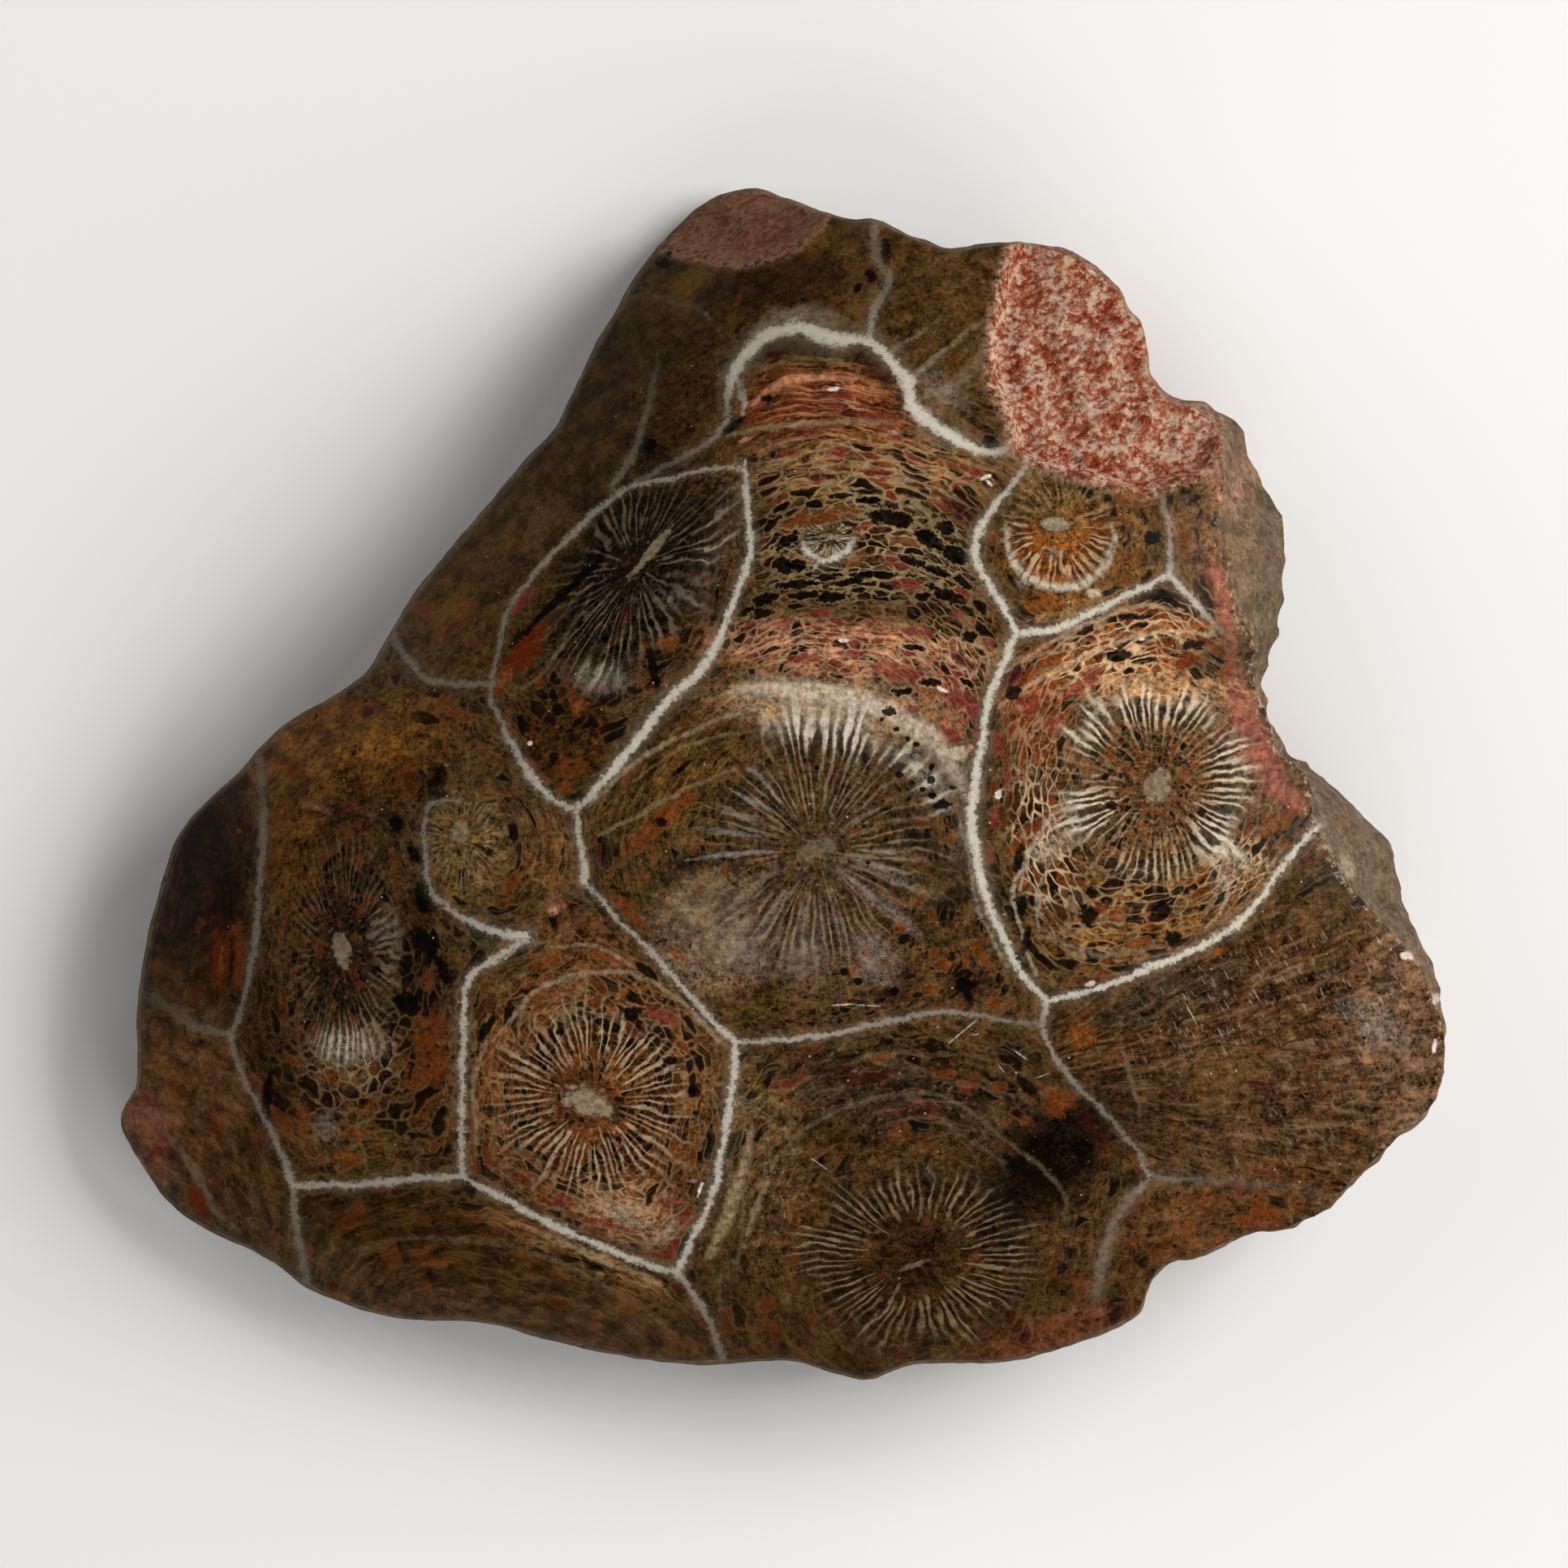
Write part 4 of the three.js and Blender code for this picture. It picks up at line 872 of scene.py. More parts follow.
def slice_skin():
    """The whole skin as points, faces of four corners, and faces of three corners: the face's
    grid, rows of the side below its edge, a band of triangles, and the back's coarser grid."""
    bearing, share = disc_grid(FACE_GRID)
    count = 4 * FACE_GRID
    points = [face_point(bearing, share).reshape(-1, 3)]
    index = np.arange((FACE_GRID + 1) ** 2).reshape(FACE_GRID + 1, FACE_GRID + 1)
    rings = [index[grid_edge(FACE_GRID)]]
    around = bearing[grid_edge(FACE_GRID)]
    steps = [(k / UPPER_ROWS, 0.0) for k in range(1, UPPER_ROWS + 1)]
    steps += [(1.0, k / LOWER_ROWS) for k in range(1, LOWER_ROWS + 1)]
    total = len(points[0])
    for upper, lower in steps:
        points.append(side_point(around, np.full(count, upper), np.full(count, lower)))
        rings.append(np.arange(total, total + count))
        total += count
    side = np.stack([np.append(ring, ring[0]) for ring in rings])

    foot = points[-1]
    back_bearing, back_share = disc_grid(BACK_GRID)
    reach = np.hypot(foot[:, 0] - CROWN[0], foot[:, 1] - CROWN[1])
    order = np.argsort(around % TURN)
    back_radius = np.interp(back_bearing % TURN, (around % TURN)[order], reach[order], period=TURN)
    back_radius = 0.985 * back_share * back_radius
    back = around_crown(back_bearing, back_radius)
    points.append(np.stack([*back, 0 * back_radius], axis=-1).reshape(-1, 3))
    back_index = total + np.arange((BACK_GRID + 1) ** 2).reshape(BACK_GRID + 1, BACK_GRID + 1)
    inner = back_index[grid_edge(BACK_GRID)]
    inner_next, outer = np.roll(inner, -1), rings[-1]
    first, middle, last = outer[0::2], outer[1::2], np.roll(outer, -2)[0::2]
    band = np.concatenate(
        [
            np.stack([first, inner, middle], axis=-1),
            np.stack([middle, inner, inner_next], axis=-1),
            np.stack([middle, inner_next, last], axis=-1),
        ]
    )
    four = [quads(index), quads(side), quads(back_index)[:, ::-1]]
    return np.concatenate(points), four, band


# The coral's drawing, place by place.


def refined(points, step=0.35):
    """A smooth line through points, as short straight pieces: Catmull-Rom curves, with the value
    at t between b and c half of (2b + (c-a)t + (2a-5b+4c-d)t^2 + (3b-a-3c+d)t^3)."""
    p = np.array(points, float)
    p = np.vstack([2 * p[0] - p[1], p, 2 * p[-1] - p[-2]])
    line = []
    for a, b, c, d in zip(p, p[1:], p[2:], p[3:]):
        t = np.linspace(0, 1, max(2, int(np.hypot(*(c - b)) / step) + 1))[:-1, None]
        cubic = (2 * a - 5 * b + 4 * c - d) * t**2 + (3 * b - a - 3 * c + d) * t**3
        line.append((2 * b + (c - a) * t + cubic) / 2)
    return np.vstack([*line, p[-2]])


def strand_field(x, y, widths, lights, points):
    """Signed distance to a drawn line, its half width and strength at the nearest place, how far
    along the line that place is, and whether the place lies beside the line and not past its
    ends."""
    line = refined(points)
    run = np.concatenate([[0], np.cumsum(np.hypot(*np.diff(line, axis=0).T))])
    best, place, sign = np.full(x.shape, np.inf), np.zeros(x.shape), np.ones(x.shape)
    for a, b, start, end in zip(line, line[1:], run, run[1:]):
        distance, along, side = segment_distance(x, y, a, b)
        closer = distance < best
        best = np.where(closer, distance, best)
        place = np.where(closer, start + (end - start) * along, place)
        sign = np.where(closer, np.where(side < 0, -1.0, 1.0), sign)
    share = place / run[-1]
    width = np.interp(share, np.linspace(0, 1, len(widths)), widths)
    light = np.interp(share, np.linspace(0, 1, len(lights)), lights)
    return sign * best, width, light, place, (place > 0) & (place < run[-1])


def nearest_strands(strands, mid, corner, owner, ranks):
    """For each of the first ranks, the strand number of each face, and at each of its corners the
    distance, half width, strength and run of that strand. The distance has a sign, so that it
    runs straight through the line, but not on faces past the line's ends."""
    fields = [strand_field(mid[:, 0], mid[:, 1], *strand) for strand in strands]
    order = np.argsort([np.abs(f[0]) - f[1] for f in fields], axis=0)[:ranks]
    beside = np.array([f[4] for f in fields])
    found = []
    for rank in order:
        chosen = rank[owner]
        out = np.zeros((len(owner), 4), np.float32)
        for number, strand in enumerate(strands):
            own = chosen == number
            if own.any():
                out[own] = np.stack(strand_field(corner[own, 0], corner[own, 1], *strand)[:4], axis=-1)
                out[own, 3] += STRAND_SALT * number
        past = ~np.take_along_axis(beside, rank[None], axis=0)[0][owner]
        out[past, 0] = np.abs(out[past, 0])
        found.append((rank, out))
    return found


def nearest_marks(kinds, mid, corner, owner):
    """For each face the mark that holds it or comes nearest, in half axes: at its corners the
    place in the mark's own frame, and for the face its colour, strength and pale line."""
    marks = [(*m, *looks) for *looks, group in kinds.values() for m in group]
    best, chosen = np.full(len(mid), np.inf), np.zeros(len(mid), int)
    for number, (mx, my, half, width, turn, *_) in enumerate(marks):
        u, v = turned(mid[:, 0], mid[:, 1], (mx, my), np.radians(turn), (half, width))
        radius = np.hypot(u, v)
        chosen = np.where(radius < best, number, chosen)
        best = np.minimum(best, radius)
    table = np.array([m[:5] for m in marks])[chosen][owner]
    u, v = turned(corner[:, 0], corner[:, 1], table[:, :2].T, np.radians(table[:, 4]), table[:, 2:4].T)
    shades = np.array([srgb(*m[5]) for m in marks])[chosen]
    looks = np.array([m[6:9] for m in marks])[chosen]
    return np.stack([u, v, 0 * u], axis=-1), shades, looks


def end_gap(place, run):
    """Distance from a place to the nearer end of a run of points."""
    return min(np.hypot(*(place - run[0])), np.hypot(*(place - run[-1])))


def ring_of(edge):
    """The closed ring of points that a cell's walls and corners make, each wall turned so that
    it goes on from where the last one ended."""
    runs = [np.array(WALLS[part][2] if isinstance(part, str) else [part], float) for part in edge]
    if end_gap(runs[0][0], runs[1]) < end_gap(runs[0][-1], runs[1]):
        runs[0] = runs[0][::-1]
    for k in range(1, len(runs)):
        last = runs[k - 1][-1]
        if np.hypot(*(last - runs[k][-1])) < np.hypot(*(last - runs[k][0])):
            runs[k] = runs[k][::-1]
    return np.vstack(runs)


def cells_at(x, y):
    """Which cell each place belongs to: the first in the list whose ring holds it."""
    found = np.full(x.shape, len(CELLS) - 1)
    for number, cell in reversed(list(enumerate(CELLS.values()))):
        found[within(x, y, ring_of(cell["edge"]))] = number
    return found


def turned(x, y, at, turn, half_axes):
    """Coordinates in an ellipse's own frame, where its outline has radius 1."""
    dx, dy = x - at[0], y - at[1]
    u = (np.cos(turn) * dx + np.sin(turn) * dy) / half_axes[0]
    v = (np.cos(turn) * dy - np.sin(turn) * dx) / half_axes[1]
    return u, v


def cell_fields(x, y, depth, wall_gap, number):
    """For corners of faces that belong to a cell: its own coordinates and the distance from its
    centre, the coordinates its dissepiments are drawn in, and its core's coordinates."""
    out = {name: np.zeros((len(x), 3), np.float32) for name in ("calice", "net", "core")}
    for n, cell in enumerate(CELLS.values()):
        own = number == n
        cx, cy, gap = x[own], y[own], np.abs(wall_gap[own])
        u, v = turned(cx, cy, cell["at"], cell["turn"], cell["ring"])
        reach = np.hypot(cx - cell["at"][0], cy - cell["at"][1])
        size = np.mean(cell["ring"]) * CELL_SIZE
        out_by = (1 - cell["follow"]) * reach + cell["follow"] * size * reach / (reach + gap + 1e-6)
        around = np.arctan2(v, u) + cell["turn"]
        across, outwards = cell["net"]
        out["calice"][own] = np.stack([u, v, reach], axis=-1)
        out["net"][own] = np.stack(
            [across * np.cos(around), across * np.sin(around) + NET_SALT * n,
             outwards * (out_by + NET_SLANT * depth[own])],
            axis=-1,
        )
        kx, ky, half, width, turn, light = cell["core"]
        ku, kv = turned(cx, cy, (kx, ky), np.radians(turn), (half, width))
        out["core"][own] = np.stack([ku, kv, np.full(own.sum(), light)], axis=-1)
    return out


def srgb(red, green, blue):
    """A colour as seen on screen, 0 to 255, in the light's own units."""
    c = np.array([red, green, blue]) / 255
    return np.where(c <= 0.04045, c / 12.92, ((c + 0.055) / 1.055) ** 2.4)


# Tints laid over one another in soft ellipses: centre, half axes, turn, strength, then the colour
# of what lies between the fine lines, and of the fine lines.
TINTS = {
    "red band": ((2.4, 21.0), (5.5, 2.3), 0, 0.95, (108, 54, 28), (176, 142, 112)),
    "olive top of the arch": ((1.5, 24.0), (3.5, 0.9), 0, 0.9, (62, 44, 16), (112, 92, 52)),
    "dark top of the arch": ((1.8, 24.8), (2.6, 0.4), -8, 0.85, (42, 18, 11), (84, 60, 40)),
    "brown band": ((4.5, 17.3), (7, 2.0), 0, 0.9, (112, 78, 47), (174, 154, 122)),
    "dark band": ((4.5, 12.8), (6.2, 2.8), 0, 0.9, (44, 25, 11), (150, 132, 102)),
    "tiny bud": ((2.4, 13.5), (1.3, 1.0), 0, 0.9, (74, 60, 36), (160, 148, 126)),
    "crimson band": ((3.5, 7.4), (7.5, 1.5), -4, 0.9, (150, 98, 70), (204, 180, 154)),
    "crimson right": ((9.0, 4.6), (1.8, 2.6), 0, 0.9, (96, 42, 30), (176, 144, 122)),
    "cream arc": ((2.6, 4.2), (6.0, 1.6), -6, 0.9, (134, 106, 78), (206, 188, 164)),
    "centre": ((2.0, -2.0), (5.5, 4.5), 0, 0.85, (64, 47, 26), (150, 137, 118)),
    "left of centre": ((-6.0, 0.5), (3.5, 3.0), 45, 0.8, (72, 52, 24), (132, 112, 76)),
    "lilac cloud": ((-4.0, -8.2), (3.2, 3.0), -30, 0.9, (112, 95, 78), (150, 134, 118)),
    "lilac cloud right": ((4.0, -9.4), (4.5, 2.2), 0, 0.85, (76, 56, 36), (152, 134, 114)),
    "centre foot": ((8.5, -9.5), (3.5, 3.0), 0, 0.8, (62, 44, 24), (140, 118, 88)),
    "upper left": ((-8.5, 11.5), (4.0, 6.5), -32, 0.95, (15, 8, 3), (118, 106, 88)),
    "upper left foot": ((-12.0, 2.6), (2.6, 3.0), 0, 0.9, (56, 34, 10), (94, 70, 34)),
    "top left olive": ((-9.0, 23.0), (7.0, 7.0), 0, 0.95, (52, 37, 15), (86, 70, 42)),
    "outer left olive": ((-17.0, 11.5), (4.0, 6.0), -38, 0.95, (62, 44, 16), (88, 68, 36)),
    "top dark": ((0.0, 27.8), (4.5, 1.6), 0, 0.8, (38, 23, 9), (70, 54, 32)),
    "top grey": ((8.8, 25.5), (3.5, 4.5), 0, 0.9, (68, 48, 23), (114, 96, 68)),
    "small cell": ((15.4, 12.8), (2.8, 2.3), 0, 0.9, (134, 78, 32), (176, 150, 116)),
    "small cell top": ((14.6, 15.4), (2.8, 1.7), 0, 0.85, (92, 70, 38), (144, 124, 88)),
    "small cell edge": ((18.8, 12.6), (2.2, 3.2), 0, 0.85, (94, 68, 34), (140, 116, 80)),
    "small cell foot": ((16.0, 9.6), (3.4, 0.9), 15, 0.8, (108, 80, 46), (156, 132, 98)),
    "right": ((20.0, 0.0), (6.5, 6.5), 0, 0.9, (78, 52, 26), (188, 170, 142)),
    "right orange": ((18.5, 7.2), (5.5, 1.8), 20, 0.85, (130, 72, 36), (212, 184, 152)),
    "right pale band": ((20.0, 5.4), (5.5, 1.0), -6, 0.8, (168, 124, 86), (212, 184, 150)),
    "right red": ((14.0, 4.0), (1.6, 3.0), 10, 0.7, (112, 58, 34), (170, 136, 106)),
    "right foot": ((19.5, -7.5), (5.0, 2.6), 15, 0.85, (104, 70, 36), (168, 146, 116)),
    "right cell's left net": ((14.2, -3.4), (1.7, 3.8), 14, 0.9, (88, 54, 30), (192, 174, 148)),
    "right cell's lower right net": ((25.2, -5.0), (1.7, 2.2), -40, 0.85, (92, 60, 32), (188, 170, 144)),
    "right strip": ((24.5, 13.0), (2.4, 4.0), 0, 0.7, (104, 74, 50), (140, 112, 86)),
    "matrix shoulder": ((25.8, 16.8), (2.2, 2.0), 0, 0.85, (132, 92, 73), (176, 146, 126)),
    "side upper right": ((27.6, 12.4), (1.7, 5.5), 0, 0.95, (58, 46, 33), (92, 78, 60)),
    "side lower right": ((32.5, -2.0), (3.0, 3.0), -45, 0.9, (72, 58, 45), (120, 106, 88)),
    "fan": ((27.0, -14.5), (9.0, 6.5), 0, 0.9, (68, 46, 28), (126, 106, 84)),
    "fan right": ((34.0, -14.0), (2.6, 6.0), 0, 0.85, (96, 72, 54), (138, 114, 94)),
    "fan dark": ((20.8, -11.9), (4.6, 1.2), 20, 0.8, (58, 44, 30), (108, 94, 76)),
    "lower corner": ((24.0, -24.0), (6.0, 2.2), 20, 0.8, (84, 56, 32), (120, 92, 64)),
    "bottom edge right": ((15.5, -30.4), (5.0, 1.2), 14, 0.9, (94, 54, 34), (120, 82, 58)),
    "bottom": ((7.0, -26.0), (7.0, 6.0), 0, 0.9, (60, 40, 18), (120, 102, 75)),
    "bottom core": ((7.3, -25.9), (2.2, 2.0), 0, 0.9, (44, 26, 11), (82, 62, 36)),
    "bottom top": ((6.0, -17.0), (7.0, 2.6), -8, 0.85, (44, 30, 18), (130, 114, 94)),
    "bottom dark": ((15.0, -20.5), (2.5, 5.0), -45, 0.95, (13, 7, 4), (40, 28, 18)),
    "bottom left part": ((-0.8, -21.5), (2.4, 6.0), 8, 0.8, (78, 56, 30), (184, 162, 130)),
    "left": ((-24.0, -8.0), (5.0, 9.0), 0, 0.9, (62, 42, 19), (112, 92, 64)),
    "left top": ((-24.0, 2.4), (5.0, 2.4), 10, 0.9, (104, 68, 26), (126, 92, 48)),
    "left olive": ((-27.2, -2.5), (1.6, 4.5), 0, 0.9, (88, 60, 25), (114, 86, 48)),
    "left ring": ((-24.4, -9.4), (2.0, 4.2), 0, 0.9, (38, 24, 12), (124, 112, 92)),
    "left septa": ((-23.8, -15.2), (2.4, 2.0), 20, 0.85, (84, 64, 42), (184, 168, 142)),
    "left dark": ((-19.8, -10.5), (1.2, 3.2), 15, 0.9, (30, 16, 7), (86, 70, 50)),
    "left rust": ((-19.8, -15.2), (1.2, 3.4), 0, 0.8, (70, 34, 12), (98, 70, 42)),
    "left second ring": ((-25.2, -19.0), (2.8, 2.6), 0, 0.85, (76, 50, 22), (130, 110, 82)),
    "left lower dark": ((-28.6, -14.0), (1.4, 5.0), 12, 0.8, (50, 33, 16), (88, 68, 44)),
    "far left": ((-33.0, -4.5), (3.4, 6.0), -12, 0.95, (34, 19, 9), (64, 46, 28)),
    "far left rust": ((-31.0, -9.3), (1.1, 2.8), 0, 0.7, (58, 26, 6), (96, 52, 14)),
    "far left foot": ((-33.0, -17.5), (3.5, 4.5), 0, 0.95, (92, 64, 38), (126, 100, 72)),
    "far left edge": ((-35.6, -19.5), (1.8, 3.0), 20, 0.8, (106, 70, 52), (140, 102, 80)),
    "bottom left": ((-19.0, -25.5), (7.0, 2.4), -14, 0.9, (56, 37, 14), (96, 74, 44)),
    "bottom left edge": ((-14.0, -30.0), (12.0, 1.6), -6, 0.9, (72, 52, 32), (92, 70, 48)),
    "under the hexagon": ((-11.0, -26.2), (5.5, 0.9), -24, 0.8, (92, 66, 38), (160, 134, 98)),
    "hexagon": ((-10.6, -17.0), (6.5, 6.5), 0, 0.9, (102, 60, 26), (174, 154, 126)),
    "hexagon low": ((-8.6, -23.4), (3.6, 1.8), -24, 0.85, (124, 84, 56), (190, 164, 132)),
    "hexagon top": ((-11.5, -9.5), (3.0, 2.0), -30, 0.8, (88, 54, 30), (140, 116, 84)),
    "bud": ((-17.4, -3.4), (2.2, 3.0), 0, 0.85, (106, 82, 48), (150, 132, 98)),
    "right of the bud": ((-13.0, -4.0), (1.8, 2.4), 0, 0.8, (88, 60, 34), (150, 126, 94)),
}

# The two colours where no tint lies, and the warm cast that all of them get.
GROUND, THREAD = (64, 45, 22), (114, 96, 68)
WARMTH = (1.0, 0.92, 0.77)

# How the fine drawing differs from place to place, in soft ellipses: centre, half axes, turn,
# then the strength of the net of dissepiments, the shares of black, rusty and red fill, and the
# strengths of pores and of laminae.
MOODS = {
    "arch": ((2.0, 21.5), (6.0, 3.6), 0, (0.15, 0.05, 0.1, 0.08, 0.2, 1.1)),
    "red band": ((2.6, 20.8), (5.0, 1.4), 0, (0.1, 0.03, 0.1, 0.3, 0.1, 1.1)),
    "brown band": ((4.5, 17.2), (7.5, 1.9), 0, (0.55, 0.12, 0.1, 0.2, 0.1, 0.9)),
    "dark band": ((4.5, 12.9), (6.6, 2.9), 0, (0.9, 0.46, 0.12, 0.16, 0.1, 0.45)),
    "crimson band": ((3.5, 7.4), (7.5, 1.9), -4, (0.42, 0.16, 0.06, 0.36, 0.2, 0.9)),
    "dark right": ((9.6, 8.8), (1.8, 4.0), 15, (0.9, 0.45, 0.08, 0.25, 0.2, 0.4)),
    "cream arc": ((2.6, 4.4), (6.5, 1.5), -6, (0.3, 0.05, 0.0, 0.05, 0.2, 0.2)),
    "centre": ((2.0, -3.0), (5.5, 5.0), 0, (0.05, 0.06, 0.06, 0.0, 0.3, 0.05)),
    "left of centre": ((-6.0, 0.5), (4.5, 2.6), 48, (0.0, 0.02, 0.08, 0.0, 0.2, 0.5)),
    "cloud": ((-3.0, -8.8), (5.5, 3.4), -20, (0.0, 0.02, 0.04, 0.0, 0.3, 0.0)),
    "centre foot": ((8.6, -9.6), (3.4, 2.8), 0, (0.05, 0.2, 0.1, 0.0, 0.5, 0.05)),
    "upper left": ((-8.5, 11.5), (4.2, 6.5), -32, (0.25, 0.4, 0.06, 0.0, 0.4, 0.1)),
    "upper left foot": ((-12.0, 2.6), (2.6, 3.0), 0, (0.2, 0.3, 0.3, 0.0, 0.6, 0.1)),
    "top left": ((-11.0, 20.0), (9.0, 12.0), -35, (0.0, 0.02, 0.03, 0.0, 0.1, 0.15)),
    "top": ((6.0, 28.0), (8.0, 5.0), 0, (0.05, 0.05, 0.03, 0.0, 0.1, 0.2)),
    "small cell": ((15.6, 12.5), (4.5, 3.4), 0, (0.1, 0.1, 0.15, 0.0, 0.2, 0.1)),
    "small cell top": ((13.8, 15.4), (2.6, 1.4), 20, (0.0, 0.0, 0.0, 0.0, 0.1, 0.1)),
    "tiny bud": ((2.4, 13.5), (1.5, 1.1), 0, (0.0, 0.1, 0.0, 0.0, 0.1, 0.0)),
    "right": ((20.4, -0.3), (4.0, 4.5), 0, (0.15, 0.2, 0.25, 0.0, 0.8, 0.05)),
    "right top": ((18.5, 8.0), (5.0, 2.2), 20, (0.85, 0.48, 0.35, 0.2, 0.2, 0.2)),
    "right side": ((13.6, 2.0), (1.6, 5.5), 8, (0.6, 0.25, 0.25, 0.3, 0.2, 0.4)),
    "right foot": ((19.5, -7.8), (5.5, 2.8), 15, (0.6, 0.35, 0.3, 0.0, 0.6, 0.1)),
    "right cell's left net": ((14.2, -3.6), (1.7, 3.8), 14, (1.0, 0.45, 0.3, 0.1, 0.3, 0.0)),
    "right cell's lower right net": ((25.0, -5.0), (1.8, 2.2), -40, (1.0, 0.4, 0.4, 0.0, 0.3, 0.0)),
    "fan": ((28.0, -14.0), (10.0, 8.0), 0, (0.0, 0.0, 0.0, 0.02, 0.05, 0.65)),
    "fan left": ((17.5, -15.6), (3.0, 3.0), 0, (0.0, 0.0, 0.1, 0.0, 0.3, 0.7)),
    "corner": ((24.0, -25.0), (8.0, 3.0), 20, (0.0, 0.1, 0.2, 0.1, 0.3, 0.3)),
    "bottom": ((6.0, -25.0), (9.0, 7.0), 0, (0.0, 0.08, 0.06, 0.0, 0.2, 0.3)),
    "bottom top": ((7.0, -16.5), (7.0, 2.5), -8, (0.05, 0.28, 0.08, 0.05, 0.3, 0.5)),
    "bottom dark": ((15.0, -20.5), (2.5, 5.0), -45, (0.0, 0.1, 0.0, 0.0, 0.2, 0.1)),
    "hexagon": ((-10.4, -17.2), (6.5, 7.0), 0, (0.45, 0.45, 0.45, 0.0, 0.2, 0.15)),
    "hexagon core": ((-10.6, -17.4), (3.0, 2.8), 0, (0.1, 0.2, 0.5, 0.0, 0.3, 0.1)),
    "hexagon low": ((-8.6, -23.4), (3.6, 1.8), -24, (0.6, 0.3, 0.2, 0.35, 0.2, 0.2)),
    "left": ((-23.0, -14.0), (5.5, 8.0), 0, (0.5, 0.35, 0.2, 0.0, 0.4, 0.2)),
    "left ring": ((-24.4, -9.0), (2.6, 4.6), 0, (0.08, 0.3, 0.15, 0.0, 0.3, 0.1)),
    "left top": ((-25.0, 0.0), (5.5, 4.5), 10, (0.05, 0.06, 0.12, 0.0, 0.3, 0.3)),
    "far left": ((-34.0, -8.0), (4.0, 10.0), -5, (0.0, 0.15, 0.08, 0.0, 0.2, 0.3)),
    "far left foot": ((-33.0, -19.0), (5.0, 5.0), 0, (0.0, 0.03, 0.06, 0.1, 0.1, 0.4)),
    "bottom left": ((-19.0, -26.0), (9.0, 3.5), -14, (0.1, 0.15, 0.12, 0.0, 0.2, 0.6)),
    "under the hexagon": ((-11.0, -26.0), (6.0, 0.9), -24, (0.1, 0.4, 0.1, 0.0, 0.2, 1.2)),
    "edge": ((-12.0, -31.0), (16.0, 1.8), -4, (0.0, 0.02, 0.03, 0.05, 0.1, 0.3)),
    "bud": ((-17.4, -3.4), (2.4, 3.0), 0, (0.1, 0.1, 0.06, 0.0, 0.3, 0.1)),
}
MOOD = (0.25, 0.2, 0.12, 0.0, 0.3, 0.3)


# Where septa thicken into cream, and where they fade: centre, half axes, turn, then how cream
# and how strong.
PATCHES = {
    "cream arc": ((3.0, 3.6), (5.4, 2.2), -9, (0.8, 1.0)),
    "cream arc's right end": ((8.6, 0.8), (1.7, 3.4), 24, (0.6, 1.0)),
    "cream arc's inner edge": ((7.0, 2.4), (2.4, 1.7), -35, (0.5, 1.0)),
    "along the right wall": ((9.6, -5.5), (0.8, 3.0), 8, (0.35, 0.5)),
    "blue septa, left": ((-2.8, -1.4), (2.6, 1.8), -8, (0.05, 0.5)),
    "blue septa, above": ((1.8, -0.6), (3.6, 2.0), 0, (0.05, 0.5)),
    "plain laminae, left": ((-6.6, 0.4), (2.6, 3.4), -45, (0.0, 0.0)),
    "blue septa, right": ((6.6, -4.6), (3.2, 2.6), -35, (0.08, 0.5)),
    "lilac septa": ((1.0, -7.6), (4.0, 1.8), 0, (0.1, 0.65)),
    "centre corner": ((9.2, -10.0), (2.4, 2.4), 0, (0.0, 0.05)),
    "right cell, left": ((16.4, -1.6), (2.4, 1.4), 18, (0.6, 1.0)),
    "right cell, upper left": ((16.4, 3.0), (1.9, 1.4), 30, (0.55, 1.0)),
    "right cell, top": ((20.4, 4.4), (4.4, 1.2), -6, (0.5, 1.0)),
    "right cell, lower right": ((24.0, -2.8), (2.0, 1.5), -35, (0.65, 1.0)),
    "right cell, right": ((24.8, 0.8), (1.4, 2.4), 0, (0.45, 1.0)),
    "right cell, below": ((20.4, -4.6), (2.6, 0.9), 0, (0.2, 0.85)),
    "right cell, foot": ((19.0, -7.6), (4.0, 1.8), 12, (0.0, 0.1)),
    "small cell ring": ((15.2, 12.8), (4.0, 3.0), 0, (0.3, 1.0)),
    "small cell, top": ((15.2, 16.3), (3.8, 1.4), 0, (0.1, 0.5)),
    "tiny bud": ((2.4, 13.3), (1.6, 1.3), 0, (0.3, 1.0)),
    "left cell": ((-24.2, -8.6), (3.0, 5.0), 0, (0.03, 0.5)),
    "left cell, foot": ((-24.4, -14.4), (2.2, 1.0), 0, (0.5, 1.0)),
    "left cell, lower right": ((-21.6, -14.4), (1.2, 2.4), 25, (0.2, 0.8)),
    "left cell, right": ((-21.8, -8.6), (0.9, 3.2), 0, (0.08, 0.9)),
    "left cell, top": ((-24.4, -3.6), (3.0, 1.2), 0, (0.05, 0.6)),
    "upper left": ((-8.4, 11.5), (4.2, 6.5), -32, (0.02, 0.55)),
    "upper left, below": ((-9.0, 8.4), (3.4, 1.8), 0, (0.04, 0.85)),
    "upper left, foot": ((-9.9, 5.8), (2.0, 1.0), -5, (0.4, 1.0)),
    "upper left, right": ((-3.6, 12.4), (1.2, 4.5), -12, (0.25, 1.0)),
    "upper left, top": ((-9.5, 15.6), (3.2, 1.2), 35, (0.03, 0.8)),
    "hexagon": ((-10.6, -17.4), (5.4, 5.4), 0, (0.12, 1.0)),
    "bud": ((-17.4, -3.2), (2.2, 2.6), 0, (0.2, 0.5)),
    "bottom cell": ((7.3, -25.9), (8.0, 6.0), 0, (0.12, 1.0)),
}
PATCH = (0.0, 0.25)

